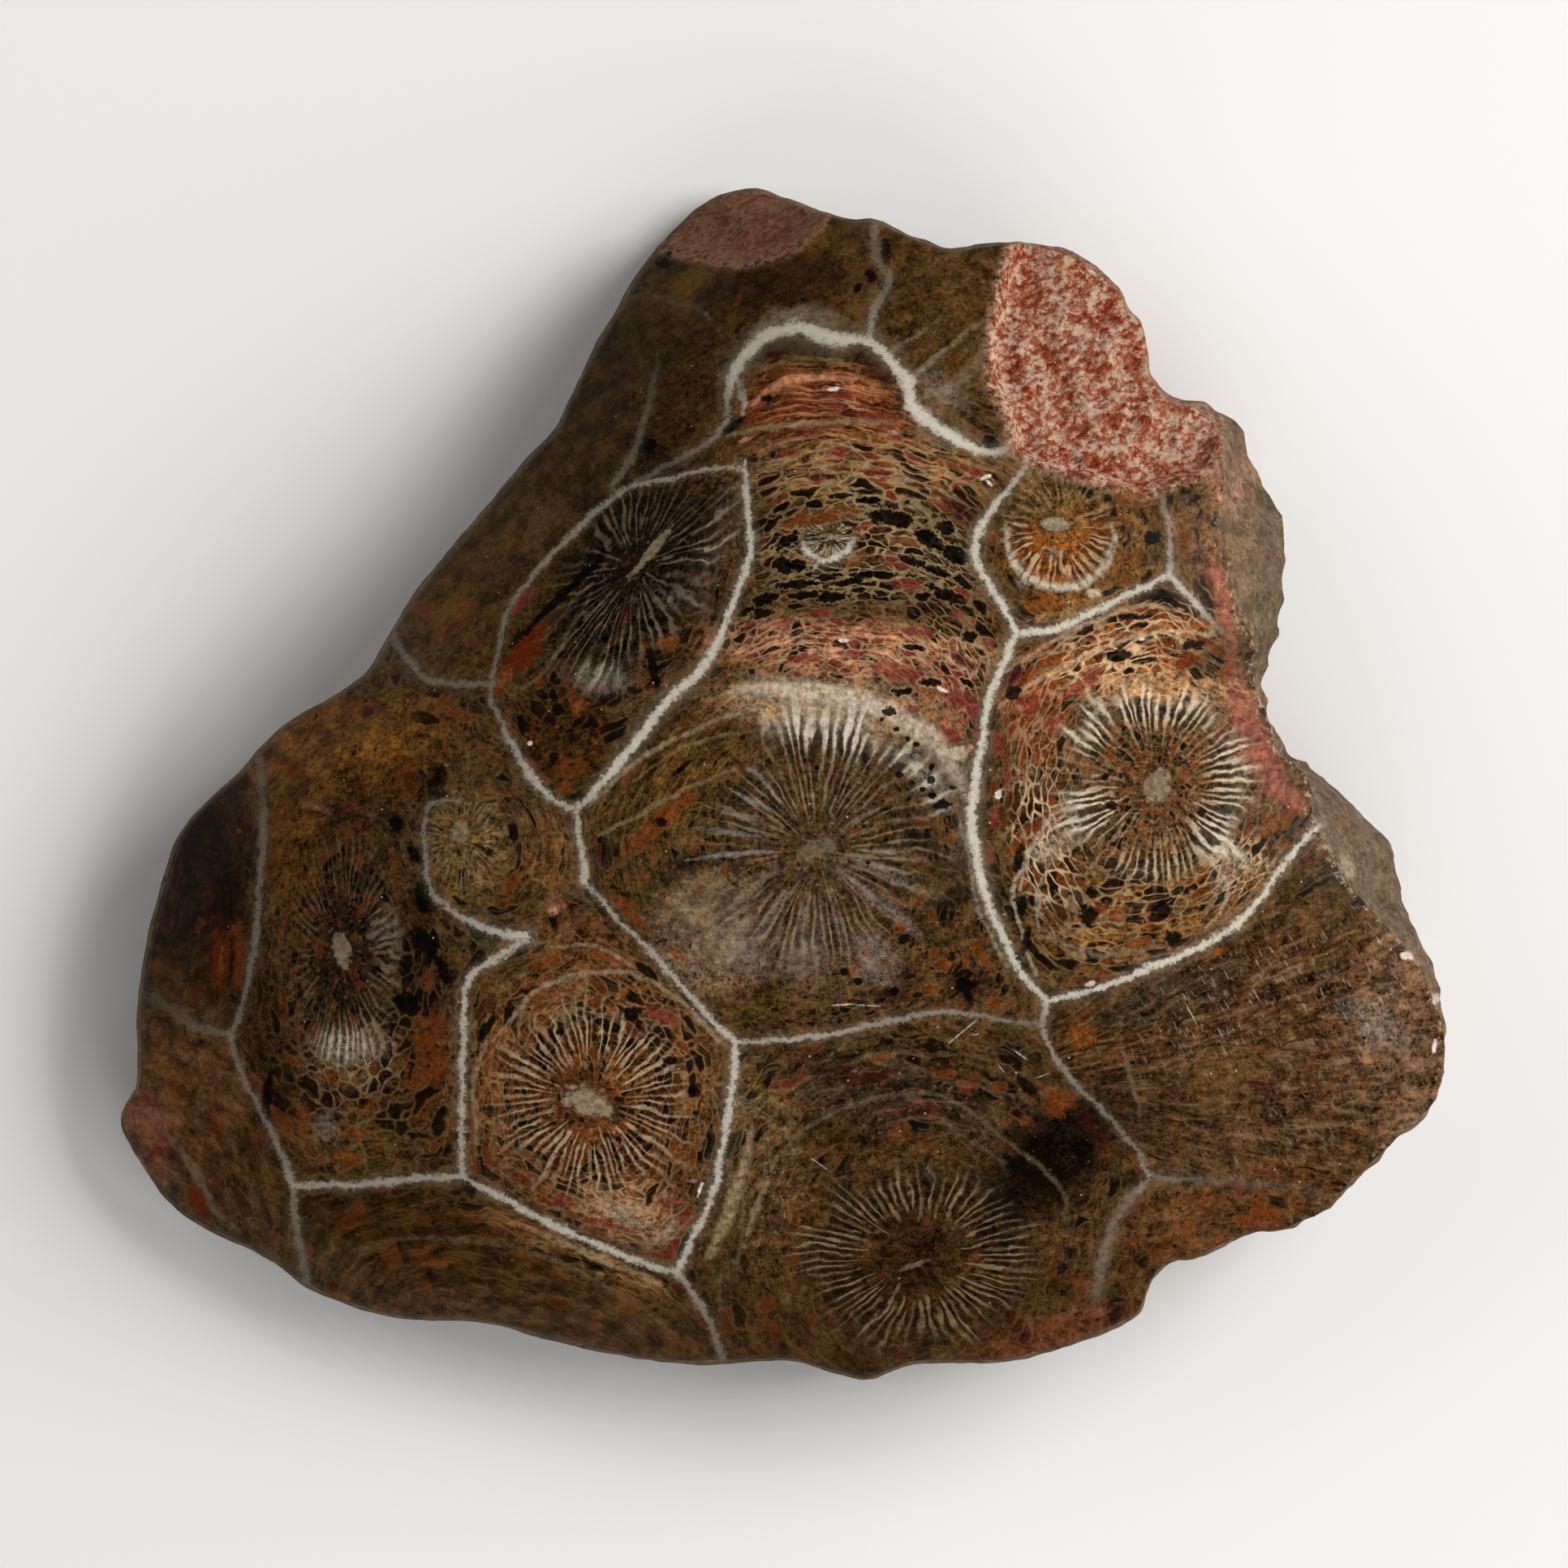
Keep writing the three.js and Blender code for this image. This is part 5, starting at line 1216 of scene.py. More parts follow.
# Where the stone is cloudy and hardly grained: centre, half axes, turn, then how much.
CALM_PATCHES = {
    "lilac cloud": ((-3.6, -7.8), (3.2, 2.6), -30, (0.85,)),
    "lilac cloud below": ((1.6, -9.4), (3.6, 1.6), 0, (0.5,)),
    "top": ((3.0, 28.0), (10.0, 3.4), 0, (0.5,)),
    "right of the arch": ((9.4, 23.4), (2.4, 4.0), 0, (0.45,)),
    "outer left": ((-13.0, 16.0), (5.0, 10.0), -38, (0.55,)),
    "cream arc": ((3.0, 4.4), (5.6, 1.0), -7, (0.6,)),
    "lower left of the bottom cell": ((0.5, -28.0), (4.0, 3.0), 0, (0.3,)),
}

# Where scratches of the polishing still show: centre, half axes, turn, then how many.
SCRATCHES = {
    "under the right wall": ((25.0, -12.0), (6.0, 3.0), 25, (1.0,)),
    "right shoulder": ((32.5, -11.0), (3.5, 5.0), -20, (0.8,)),
    "lower right": ((28.0, -19.0), (6.0, 3.0), 20, (0.5,)),
}


def bell(x, y, at, half_axes, turn):
    """A soft ellipse: 1 in its middle half, and falling smoothly to 0 at 1.45 of its half axes."""
    u, v = turned(x, y, at, np.radians(turn), half_axes)
    return 1 - smooth(np.hypot(u, v), *SOFT_ELLIPSE)


def tint_fields(x, y):
    """The two colours of each place: each tint in turn is mixed over what lies below
    it, and the sum is warmed."""
    ground = np.tile(srgb(*GROUND), (len(x), 1))
    thread = np.tile(srgb(*THREAD), (len(x), 1))
    for at, half, turn, strength, low, high in TINTS.values():
        share = (strength * bell(x, y, at, half, turn))[:, None]
        ground += share * (srgb(*low) - ground)
        thread += share * (srgb(*high) - thread)
    return ground * WARMTH, thread * WARMTH


def mixed(x, y, base, patches):
    """Values at each place, where each soft ellipse in turn is mixed over what lies below it."""
    out = np.tile(np.array(base, float), (len(x), 1))
    for at, half, turn, values in patches.values():
        out += bell(x, y, at, half, turn)[:, None] * (np.array(values) - out)
    return out


# The mesh and its attributes.


def set_attributes(mesh, domain, fields):
    """Named attributes of the mesh's points, corners or faces, from whole arrays: a vector for
    each where the array has columns, and else a number."""
    for name, values in fields.items():
        kind, key = ("FLOAT", "value") if values.ndim == 1 else ("FLOAT_VECTOR", "vector")
        layer = mesh.attributes.new(name, kind, domain)
        layer.data.foreach_set(key, np.ascontiguousarray(values, np.float32).ravel())


def dome_fall(x, y):
    """How far the polished face lies below the crown above a place."""
    bearing = np.arctan2(y - CROWN[1], x - CROWN[0])
    radius = np.hypot(x - CROWN[0], y - CROWN[1])
    share = (radius / dome_reach(bearing)) ** dome_shoulder(bearing)
    return (CROWN[2] - dome_foot(bearing)) * share


def mesh_of(points, faces, name):
    """A mesh of these points and faces, each array of faces with its own number of corners."""
    loops = np.concatenate([f.ravel() for f in faces])
    sizes = np.concatenate([np.full(len(f), f.shape[1]) for f in faces])
    starts = np.concatenate([[0], np.cumsum(sizes)[:-1]])
    mesh = bpy.data.meshes.new(name)
    mesh.vertices.add(len(points))
    mesh.vertices.foreach_set("co", (points * MM).astype(np.float32).ravel())
    mesh.loops.add(len(loops))
    mesh.loops.foreach_set("vertex_index", loops.astype(np.int32))
    mesh.polygons.add(len(sizes))
    mesh.polygons.foreach_set("loop_start", starts.astype(np.int32))
    mesh.update(calc_edges=True)
    mesh.validate()
    return mesh, loops, sizes, starts


def build_mesh():
    """The skin as one mesh, with the coral's fields on its corners, faces and points."""
    points, four, band = slice_skin()
    mesh, loops, sizes, starts = mesh_of(points, [np.concatenate(four), band], "polished_coral_slice")
    x, y, z = points.T
    owner = np.repeat(np.arange(len(sizes)), sizes)
    mid = np.add.reduceat(points[loops], starts, axis=0) / sizes[:, None]
    corner = points[loops]
    depth = CROWN[2] - dome_fall(x, y) - z

    (_, wall), (_, wall_next) = nearest_strands(list(WALLS.values()), mid, corner, owner, 2)
    lines = [(widths, lights, path) for widths, lights, _, path in LINES.values()]
    ((line, line_values),) = nearest_strands(lines, mid, corner, owner, 1)
    line_shades = np.array([srgb(*shade) for _, _, shade, _ in LINES.values()])
    on_corners = {
        "wall": wall[:, :3], "wall_next": wall_next[:, :3], "wall_run": wall[:, 3],
        "line": line_values[:, :3],
    }
    on_faces = {"line_shade": line_shades[line]}
    for name, kinds in (("stain", STAINS), ("spot", SPOTS)):
        place, shades, looks = nearest_marks(kinds, mid, corner, owner)
        on_corners[name] = place
        on_faces |= {name + "_shade": shades, name + "_looks": looks}
    number = cells_at(mid[:, 0], mid[:, 1])
    on_corners |= cell_fields(*corner[:, :2].T, depth[loops], wall[:, 0], number[owner])
    cells = list(CELLS.values())
    on_faces["septa"] = np.array([(*c["septa"], SEPTA_SALT * n) for n, c in enumerate(cells)])[number]
    on_faces["span"] = np.array([c["span"] for c in cells])[number]

    ground, thread = tint_fields(x, y)
    mood = mixed(x, y, MOOD, MOODS)
    calm = smooth(dome_fall(x, y), *CALM_FALL)
    calm = np.maximum(calm, mixed(x, y, (0.0,), CALM_PATCHES)[:, 0])
    back_start = len(points) - (BACK_GRID + 1) ** 2
    row = np.arange(len(points))
    back = 1.0 * (row >= back_start)
    side = 1.0 * (row >= (FACE_GRID + 1) ** 2) - back
    matrix = matrix_share(x, y, MATRIX_FRAY) * (1 - back)
    bearing = np.arctan2(y - CROWN[1], x - CROWN[0])
    rim_gap = np.abs(np.hypot(x - CROWN[0], y - CROWN[1]) - edge_radius(bearing))
    rim = (1 - smooth(rim_gap, *RIM_CHIPS)) * near(bearing, *BROKEN_SIDE) * (1 - back)
    scratched = mixed(x, y, (0.0,), SCRATCHES)[:, 0]
    on_points = {
        "ground": ground, "thread": thread, "mood": mood[:, :3], "mood_more": mood[:, 3:],
        "patch": np.column_stack([mixed(x, y, PATCH, PATCHES), calm]),
        "zone": np.column_stack([matrix, side, back]),
        "wear": np.column_stack([scratched, rim, depth]),
    }
    set_attributes(mesh, "CORNER", on_corners)
    set_attributes(mesh, "FACE", on_faces)
    set_attributes(mesh, "POINT", on_points)
    set_face_uv(mesh, points, loops, owner, len(four[0]), len(four[0]) + len(four[1]))
    return mesh


def map_place(x, y, middle_u, middle_v, size):
    """Where a place seen from above lies on the map: its share of the span, scaled and moved."""
    return np.stack([middle_u + x / MAP_SPAN * size, middle_v + y / MAP_SPAN * size], axis=-1)


def set_face_uv(mesh, points, loops, owner, face_end, side_end):
    """A map of the whole skin: the face from above fills most of it, the side is cut into three
    long strips above it, and the back lies small in the corner beside it."""
    layer = mesh.uv_layers.new(name="OFBake")
    x, y, z = points[loops].T
    uv = map_place(x, y, *FACE_MAP)
    side = (owner >= face_end) & (owner < side_end)
    column = (owner - face_end) % (4 * FACE_GRID)
    corner = np.arange(len(loops)) - 4 * owner
    ahead = np.isin(corner, ENDS_AHEAD)
    place = (column + ahead) / (4 * FACE_GRID) * STRIPS
    strip = np.clip(np.floor(column / (4 * FACE_GRID) * STRIPS), 0, STRIPS - 1)
    uv[side, 0] = 0.01 + 0.97 * (place - strip)[side]
    uv[side, 1] = STRIP_FOOT + STRIP_STEP * strip[side] + z[side] / SIDE_HEIGHT * STRIP_HEIGHT
    back = owner >= side_end
    uv[back] = map_place(x[back], y[back], *BACK_MAP)
    layer.data.foreach_set("uv", uv.astype(np.float32).ravel())


# The material.


class Nodes:
    """Short ways to make the nodes of one material. A value can be a socket or a constant."""

    def __init__(self, tree):
        self.tree = tree

    def new(self, kind, values=None, **settings):
        """A node of this kind with its settings made and its inputs filled in."""
        node = self.tree.nodes.new(kind)
        for key, value in settings.items():
            setattr(node, key, value)
        for key, value in (values or {}).items():
            self.put(node.inputs[key], value)
        return node

    def put(self, socket, value):
        """Links another node's output to the socket, or sets the socket to a constant."""
        if isinstance(value, bpy.types.NodeSocket):
            self.tree.links.new(value, socket)
        else:
            socket.default_value = value

    def math(self, operation, *values):
        """One sum on numbers; the six that follow are its most used ones."""
        return self.new("ShaderNodeMath", dict(enumerate(values)), operation=operation).outputs[0]

    def mul(self, a, b):
        return self.math("MULTIPLY", a, b)

    def add(self, a, b):
        return self.math("ADD", a, b)

    def sub(self, a, b):
        return self.math("SUBTRACT", a, b)

    def mul_add(self, a, b, c):
        return self.math("MULTIPLY_ADD", a, b, c)

    def most(self, a, b):
        return self.math("MAXIMUM", a, b)

    def least(self, a, b):
        return self.math("MINIMUM", a, b)

    def vector(self, operation, a, b=(0, 0, 0)):
        """One sum on vectors."""
        node = self.new("ShaderNodeVectorMath", {0: a, 1: b}, operation=operation)
        return node.outputs["Value" if operation == "LENGTH" else "Vector"]

    def scaled(self, vector, scale):
        """A vector or colour times a number."""
        values = {0: vector, "Scale": scale}
        return self.new("ShaderNodeVectorMath", values, operation="SCALE").outputs["Vector"]

    def step(self, value, low, high, bottom=0.0, top=1.0):
        """From bottom at low to top at high, smoothly, and level outside them."""
        values = {0: value, 1: low, 2: high, 3: bottom, 4: top}
        return self.new("ShaderNodeMapRange", values, interpolation_type="SMOOTHSTEP").outputs[0]

    def mix_number(self, share, a, b):
        """From the number a at share 0 to b at share 1."""
        return self.new("ShaderNodeMix", {0: share, 2: a, 3: b}, data_type="FLOAT").outputs[0]

    def mix(self, share, a, b):
        """From the colour a at share 0 to b at share 1."""
        values = {"Factor": share, 6: a, 7: b}
        return self.new("ShaderNodeMix", values, data_type="RGBA").outputs[2]

    def noise(self, vector, scale, detail=2.0, rough=0.5):
        values = {"Vector": vector, "Scale": scale, "Detail": detail, "Roughness": rough}
        return self.new("ShaderNodeTexNoise", values)

    def cells(self, vector, scale=1.0, feature="F1"):
        values = {"Vector": vector, "Scale": scale, "Randomness": 1.0}
        return self.new("ShaderNodeTexVoronoi", values, feature=feature)

    def combine(self, x, y, z):
        return self.new("ShaderNodeCombineXYZ", {0: x, 1: y, 2: z}).outputs[0]

    def split(self, vector):
        return self.new("ShaderNodeSeparateXYZ", {0: vector}).outputs[:]

    def attribute(self, name):
        """A named attribute of the mesh, as a vector."""
        return self.new("ShaderNodeAttribute", attribute_name=name).outputs["Vector"]


# Colours of the drawing, as seen on screen.
SHADES = {
    "rusty blister": (102, 50, 18), "red blister": (112, 44, 32), "black blister": (13, 8, 4),
    "dark pore": (14, 8, 4), "rusty pore": (112, 56, 18), "bone": (204, 192, 171),
    "shadow of the core": (34, 20, 10), "pith": (146, 128, 102), "faint wall": (84, 74, 60),
    "bright wall": (192, 183, 166), "haze of the wall": (104, 90, 70), "scratch": (168, 158, 146),
    "red grain": (110, 40, 22), "brown grain": (140, 78, 54), "cream grain": (178, 148, 126),
    "dull red grain": (98, 56, 38), "dull brown grain": (112, 82, 62),
    # On the next line, the pale speck colour is the colour of tiny painted glints, sparkles of light
    # painted into the colour.
    "matrix dust": (142, 104, 80), "painted_glint": (196, 176, 158), "chip": (176, 154, 136),
    "dark crust": (78, 64, 49), "pale crust": (122, 106, 87), "rusty crust": (112, 74, 48),
    "sawn dust": (118, 102, 82),
}


def colour(name):
    """A named colour as the value of a colour socket."""
    return (*srgb(*SHADES[name]), 1.0)


def flat_length(n, u, v):
    """Length and direction of (u, v)."""
    flat = n.combine(u, v, 0.0)
    return n.vector("LENGTH", flat), n.vector("NORMALIZE", flat)


def textures(n):
    """The noises that all of the drawing shares, and how cream, strong and calm a place is."""
    place = n.scaled(n.new("ShaderNodeTexCoord").outputs["Object"], 1000.0)
    warp = n.vector("SUBTRACT", n.noise(place, 0.6, 2).outputs["Color"], (0.5, 0.5, 0.5))
    broad = n.split(n.noise(place, 0.85, 3, 0.6).outputs["Color"])
    grains = n.noise(place, 2.7, 4, 0.72).outputs["Color"]
    sand = n.split(grains)
    grit = n.split(n.noise(place, 6.0, 2, 0.7).outputs["Color"])
    cream, shown, calm = n.split(n.attribute("patch"))
    contrast = n.mul_add(calm, -5.4, 9.0)
    speck = n.mul_add(grit[0], 0.4, n.mul_add(sand[0], 0.6, -0.5))
    speck = n.most(n.mul_add(speck, contrast, 1.0), 0.08)
    return dict(
        place=place, warp=warp, grains=grains, broad=broad, sand=sand, grit=grit, speck=speck,
        cream=cream, shown=shown, calm=calm,
    )


def fill_nodes(n, t):
    """What lies between the septa: sandy stone with laminae, blisters of the net filled black,
    rusty or red, the pale threads between them, and pores."""
    ground = n.attribute("ground")
    thread = n.attribute("thread")
    net_share, dark_share, rust_share = n.split(n.attribute("mood"))
    red_share, pore_share, laminae = n.split(n.attribute("mood_more"))
    broad, sand = t["broad"], t["sand"]
    net = n.vector("ADD", n.attribute("net"), n.scaled(t["warp"], 1.6))
    blister = n.split(n.cells(net).outputs["Color"])
    edge = n.cells(net, 1.0, "DISTANCE_TO_EDGE").outputs["Distance"]
    layers = n.vector("MULTIPLY", net, (0.45, 0.45, 1.9))
    fine = n.noise(layers, 1.0, 4, 0.7).outputs["Fac"]

    mottle = n.mul(n.sub(fine, 0.5), n.mul(laminae, 7.0))
    plain = n.mix_number(n.mul(laminae, 0.5), t["speck"], 1.0)
    light = n.most(n.add(plain, mottle), 0.06)
    shade = n.mul(light, n.step(broad[0], 0.3, 0.7, 0.45, 1.5))
    fill = n.scaled(ground, shade)
    hue = n.mul_add(t["grit"][1], 0.5, n.mul(sand[1], 0.5))
    hue = n.add(hue, n.mul_add(broad[1], 0.9, -0.45))
    vivid = n.mul_add(t["calm"], -0.2, 0.42)
    rusty = n.mul(n.step(hue, 0.53, 0.7), vivid)
    fill = n.mix(rusty, fill, n.vector("MULTIPLY", fill, (1.55, 0.92, 0.5)))
    olive = n.mul(n.step(hue, 0.5, 0.34), vivid)
    fill = n.mix(olive, fill, n.vector("MULTIPLY", fill, (0.68, 0.9, 1.1)))
    fleck = n.mul(n.step(sand[2], 0.56, 0.68), n.mul_add(t["calm"], -0.3, 0.5))
    fill = n.mix(fleck, fill, thread)

    rust = n.mul_add(rust_share, n.mul_add(broad[1], 3.2, -0.6), blister[1])
    even = n.mul_add(light, 0.4, 0.5)
    rusted = n.scaled(colour("rusty blister")[:3], even)
    fill = n.mix(n.step(rust, 0.96, 1.12, 0.0, 0.7), fill, rusted)
    red = n.mul_add(red_share, n.mul_add(broad[2], 3.2, -0.6), blister[2])
    reddened = n.scaled(colour("red blister")[:3], even)
    fill = n.mix(n.step(red, 0.96, 1.12, 0.0, 0.75), fill, reddened)
    dark = n.mul_add(dark_share, n.mul_add(broad[0], -2.6, 2.3), blister[0])
    dark = n.step(dark, 0.95, 1.05, 0.0, n.mul_add(t["calm"], -0.6, 0.93))
    dark = n.mul(dark, n.step(n.mul_add(sand[0], 0.5, edge), 0.26, 0.42))
    fill = n.mix(dark, fill, colour("black blister"))
    width = n.mul_add(broad[2], 0.16, -0.015)
    line = n.step(edge, n.mul(width, 0.3), n.mul(width, 1.7), 1.0, 0.0)
    line = n.mul(n.mul(line, net_share), n.step(sand[2], 0.3, 0.55, 0.35, 1.0))
    drift = n.mul(n.step(fine, 0.53, 0.63, 0.0, 0.6), laminae)
    line = n.most(line, drift)
    fill, stained = mark_nodes(n, t, fill, thread, "stain")
    line = n.mul(line, n.mul_add(stained, -0.85, 1.0))
    fill = n.mix(line, fill, n.scaled(thread, n.step(sand[0], 0.3, 0.7, 0.65, 1.3)))
    pores = n.cells(n.vector("ADD", t["place"], n.scaled(t["warp"], 1.5)), 2.2)
    pore = n.step(pores.outputs["Distance"], 0.22, 0.4, 1.0, 0.0)
    chance = n.split(pores.outputs["Color"])
    pore = n.mul(pore, n.step(n.add(chance[0], pore_share), 1.2, 1.25))
    inside_pore = n.mix(n.step(chance[1], 0.6, 0.7), colour("dark pore"), colour("rusty pore"))
    return n.mix(n.mul(pore, 0.8), fill, inside_pore), thread


def mark_nodes(n, t, under, thread, name):
    """One layer of marks: ragged ellipses in their own colour, some with a pale line round them."""
    u, v, _ = n.split(n.attribute(name))
    shade = n.attribute(name + "_shade")
    strength, outline, soft = n.split(n.attribute(name + "_looks"))
    radius, _ = flat_length(n, u, v)
    wave = n.sub(n.add(t["sand"][1], t["broad"][2]), 1.0)
    radius = n.mul_add(wave, 2.1, radius)
    cover = n.step(radius, n.sub(1.0, soft), n.add(1.0, soft), strength, 0.0)
    grainy = n.mix_number(n.mul_add(strength, -1.0, 1.25), 1.0, t["speck"])
    under = n.mix(cover, under, n.scaled(shade, grainy))
    loop = n.math("ABSOLUTE", n.sub(radius, 1.2))
    loop = n.mul(n.step(loop, 0.04, 0.2, 1.0, 0.0), outline)
    return n.mix(loop, under, thread), cover


def line_nodes(n, t, under):
    """The thin pale lines: soft on both sides, and broken up by the sand."""
    distance, half, strength = n.split(n.attribute("line"))
    shade = n.attribute("line_shade")
    wander = n.mul_add(t["broad"][1], 0.5, -0.25)
    distance = n.math("ABSOLUTE", n.add(distance, wander))
    distance = n.mul_add(n.sub(t["sand"][1], 0.5), 0.3, distance)
    cover = n.step(distance, n.mul(half, 0.3), n.mul(half, 1.7), 1.0, 0.0)
    cover = n.mul(n.mul(cover, strength), n.step(t["sand"][2], 0.34, 0.54, 0.3, 1.0))
    return n.mix(cover, under, n.scaled(shade, n.step(t["sand"][0], 0.3, 0.7, 0.6, 1.35)))


def septa_nodes(n, t, under, thread):
    """The septa of each cell, one for each whole number of the bearing times their count: each
    has its own length and strength, they are cream where they are thick, with dark dots between
    them, and the core is laid over them."""
    stone = under
    u, v, reach = n.split(n.attribute("calice"))
    out_by, way = flat_length(n, u, v)
    count, strength, salt = n.split(n.attribute("septa"))
    begin, end, soft = n.split(n.attribute("span"))
    spread = n.vector("ADD", n.scaled(way, 2.4), n.combine(salt, 0.0, n.mul(out_by, 1.3)))
    sway = n.sub(n.noise(spread, 1.0, 3, 0.6).outputs["Fac"], 0.5)
    turns = n.mul(n.math("ARCTAN2", v, u), n.math("DIVIDE", count, TURN))
    turns = n.mul_add(sway, 3.6, turns)
    index = n.math("FLOOR", turns)
    apart = n.math("ABSOLUTE", n.sub(n.sub(turns, index), 0.5))
    own = n.mul_add(salt, 17.0, index)
    chance = n.split(n.new("ShaderNodeTexWhiteNoise", {"W": own}, noise_dimensions="1D").outputs["Color"])
    minor = n.math("ABSOLUTE", n.math("MODULO", index, 2.0))
    ring = n.mul(n.step(out_by, 0.45, 0.85), n.step(out_by, 1.6, 1.15))
    thick = n.mul(t["cream"], n.mul_add(ring, 0.75, 0.25))
    period = n.math("DIVIDE", n.mul(reach, TURN), count)
    thin = n.math("DIVIDE", n.mul_add(chance[0], 0.05, 0.04), n.most(period, 0.12))
    bead = n.mul_add(t["sand"][1], 3.0, -0.5)
    half = n.mul(n.least(thin, 0.4), bead)
    half = n.most(half, n.mul(n.mul(thick, 0.26), n.step(bead, 0.4, 1.4, 0.6, 1.2)))
    ridge = n.step(apart, n.mul(half, 0.6), n.mul_add(half, 1.2, 0.03), 1.0, 0.0)
    start = n.add(begin, n.mul(chance[1], 0.18))
    start = n.mul_add(minor, 0.12, start)
    open_in = n.step(n.sub(out_by, start), 0.0, 0.08)
    finish = n.add(end, n.mul_add(chance[2], 0.34, -0.2))
    open_out = n.step(n.sub(finish, out_by), n.mul(soft, -1.0), soft)
    zone = n.mul(n.mul(open_in, open_out), n.mul(strength, t["shown"]))
    stretch = n.noise(n.combine(n.mul(own, 3.7), n.mul(reach, 0.5), 3.0), 1.0, 1)
    present = n.step(stretch.outputs["Fac"], 0.42, 0.54, n.step(t["cream"], 0.05, 0.5, 0.35, 0.9), 1.0)
    beads = n.noise(n.combine(n.mul(own, 7.3), n.mul(reach, 3.4), 0.0), 1.0, 1)
    bone = n.mix(n.least(n.mul(thick, 1.3), 1.0), thread, colour("bone"))
    bone = n.scaled(bone, n.step(t["sand"][0], 0.3, 0.68, 0.65, 1.15))
    wash = n.mul(n.mul(thick, zone), n.step(t["sand"][1], 0.36, 0.54, 0.35, 0.95))
    wash = n.mul(wash, n.step(out_by, 0.75, 0.95, 0.3, 1.0))
    under = n.mix(wash, under, bone)
    filled = n.step(out_by, 1.0, 0.84, n.mul_add(thick, -0.3, 0.45), 0.95)
    dash = n.step(beads.outputs["Fac"], 0.44, 0.54, filled, 1.0)
    slit = n.mul(n.step(apart, 0.2, 0.36), dash)
    gap = n.scaled(stone, n.step(out_by, 0.4, 0.7, 0.45, 0.14))
    under = n.mix(n.mul(n.mul(slit, zone), 0.9), under, gap)
    lit = n.mul(n.mul(ridge, zone), n.mul(present, n.step(t["sand"][2], 0.32, 0.52, 0.4, 1.0)))
    under = n.mix(lit, under, bone)
    core_u, core_v, core_light = n.split(n.attribute("core"))
    core_by, _ = flat_length(n, core_u, core_v)
    wave = n.add(t["sand"][1], t["broad"][0])
    core_by = n.mul_add(wave, 1.8, core_by)
    core = n.step(core_by, 3.0, 2.5)
    halo = n.mul(n.step(core_by, 4.0, 3.0), n.mul(core_light, 0.5))
    under = n.mix(halo, under, colour("shadow of the core"))
    pith = n.scaled(colour("pith")[:3], n.step(t["sand"][0], 0.35, 0.65, 0.6, 1.3))
    return n.mix(n.mul(core, core_light), under, pith)


def wall_nodes(n, t, under):
    """The walls between the cells: a pale body with a fuzzy haze, which is weaker beside laminae,
    and short ticks out of it."""
    wander = n.mul_add(t["broad"][1], 0.5, -0.25)
    ragged = n.mul_add(t["sand"][1], 0.55, n.mul_add(t["grit"][1], 0.45, -0.47))
    soft = n.mul_add(t["calm"], 0.1, 0.04)
    uneven = n.step(t["broad"][0], 0.3, 0.7, 0.72, 1.32)
    _, _, laminae = n.split(n.attribute("mood_more"))
    haze = n.step(laminae, 0.5, 0.9, 0.42, 0.08)
    for name in ("wall_next", "wall"):
        distance, half, light = n.split(n.attribute(name))
        distance = n.math("ABSOLUTE", n.add(distance, wander))
        half = n.mul(half, uneven)
        inner = n.mul(half, 0.15)
        outer = n.add(n.mul_add(half, 0.95, 0.13), soft)
        body = n.step(n.add(distance, ragged), inner, outer, 1.0, 0.0)
        cover = n.least(n.mul(body, 1.5), 1.0)
        glow = n.step(n.add(distance, ragged), 0.0, n.mul_add(half, 2.9, 0.25), haze, 0.0)
        cover = n.most(cover, glow)
        if name == "wall":
            run = n.new("ShaderNodeAttribute", attribute_name="wall_run").outputs["Fac"]
            along = n.combine(n.mul(run, 3.2), n.mul(distance, 0.8), 0.0)
            tick = n.noise(along, 1.0, 2, 0.6).outputs["Fac"]
            tick = n.sub(tick, n.step(distance, 0.05, 0.6, 0.58, 0.88))
            cover = n.most(cover, n.step(tick, -0.06, 0.06, 0.0, 0.5))
        pale = n.mix(light, colour("faint wall"), colour("bright wall"))
        pale = n.mix(n.mul(n.sub(1.0, body), 0.9), pale, colour("haze of the wall"))
        pale = n.scaled(pale, n.step(t["sand"][0], 0.3, 0.65, 0.84, 1.06))
        under = n.mix(n.mul(cover, n.least(n.mul(light, 1.15), 1.0)), under, pale)
    return under


def scratch_nodes(n, t, under):
    """Short fine scratches that run down to the right, laid over the polished stone."""
    x, y, _ = n.split(t["place"])
    cosine, sine = SCRATCH_WAY
    across = n.add(n.mul(x, cosine), n.mul(y, sine))
    along = n.sub(n.mul(x, sine), n.mul(y, cosine))
    hair = n.noise(n.combine(n.mul(across, 6.5), n.mul(along, 1.1), 0.0), 1.0, 2)
    scratched, _, _ = n.split(n.attribute("wear"))
    seen = n.mul(n.step(hair.outputs["Fac"], 0.6, 0.7), scratched)
    return n.mix(n.mul(seen, 0.45), under, colour("scratch"))


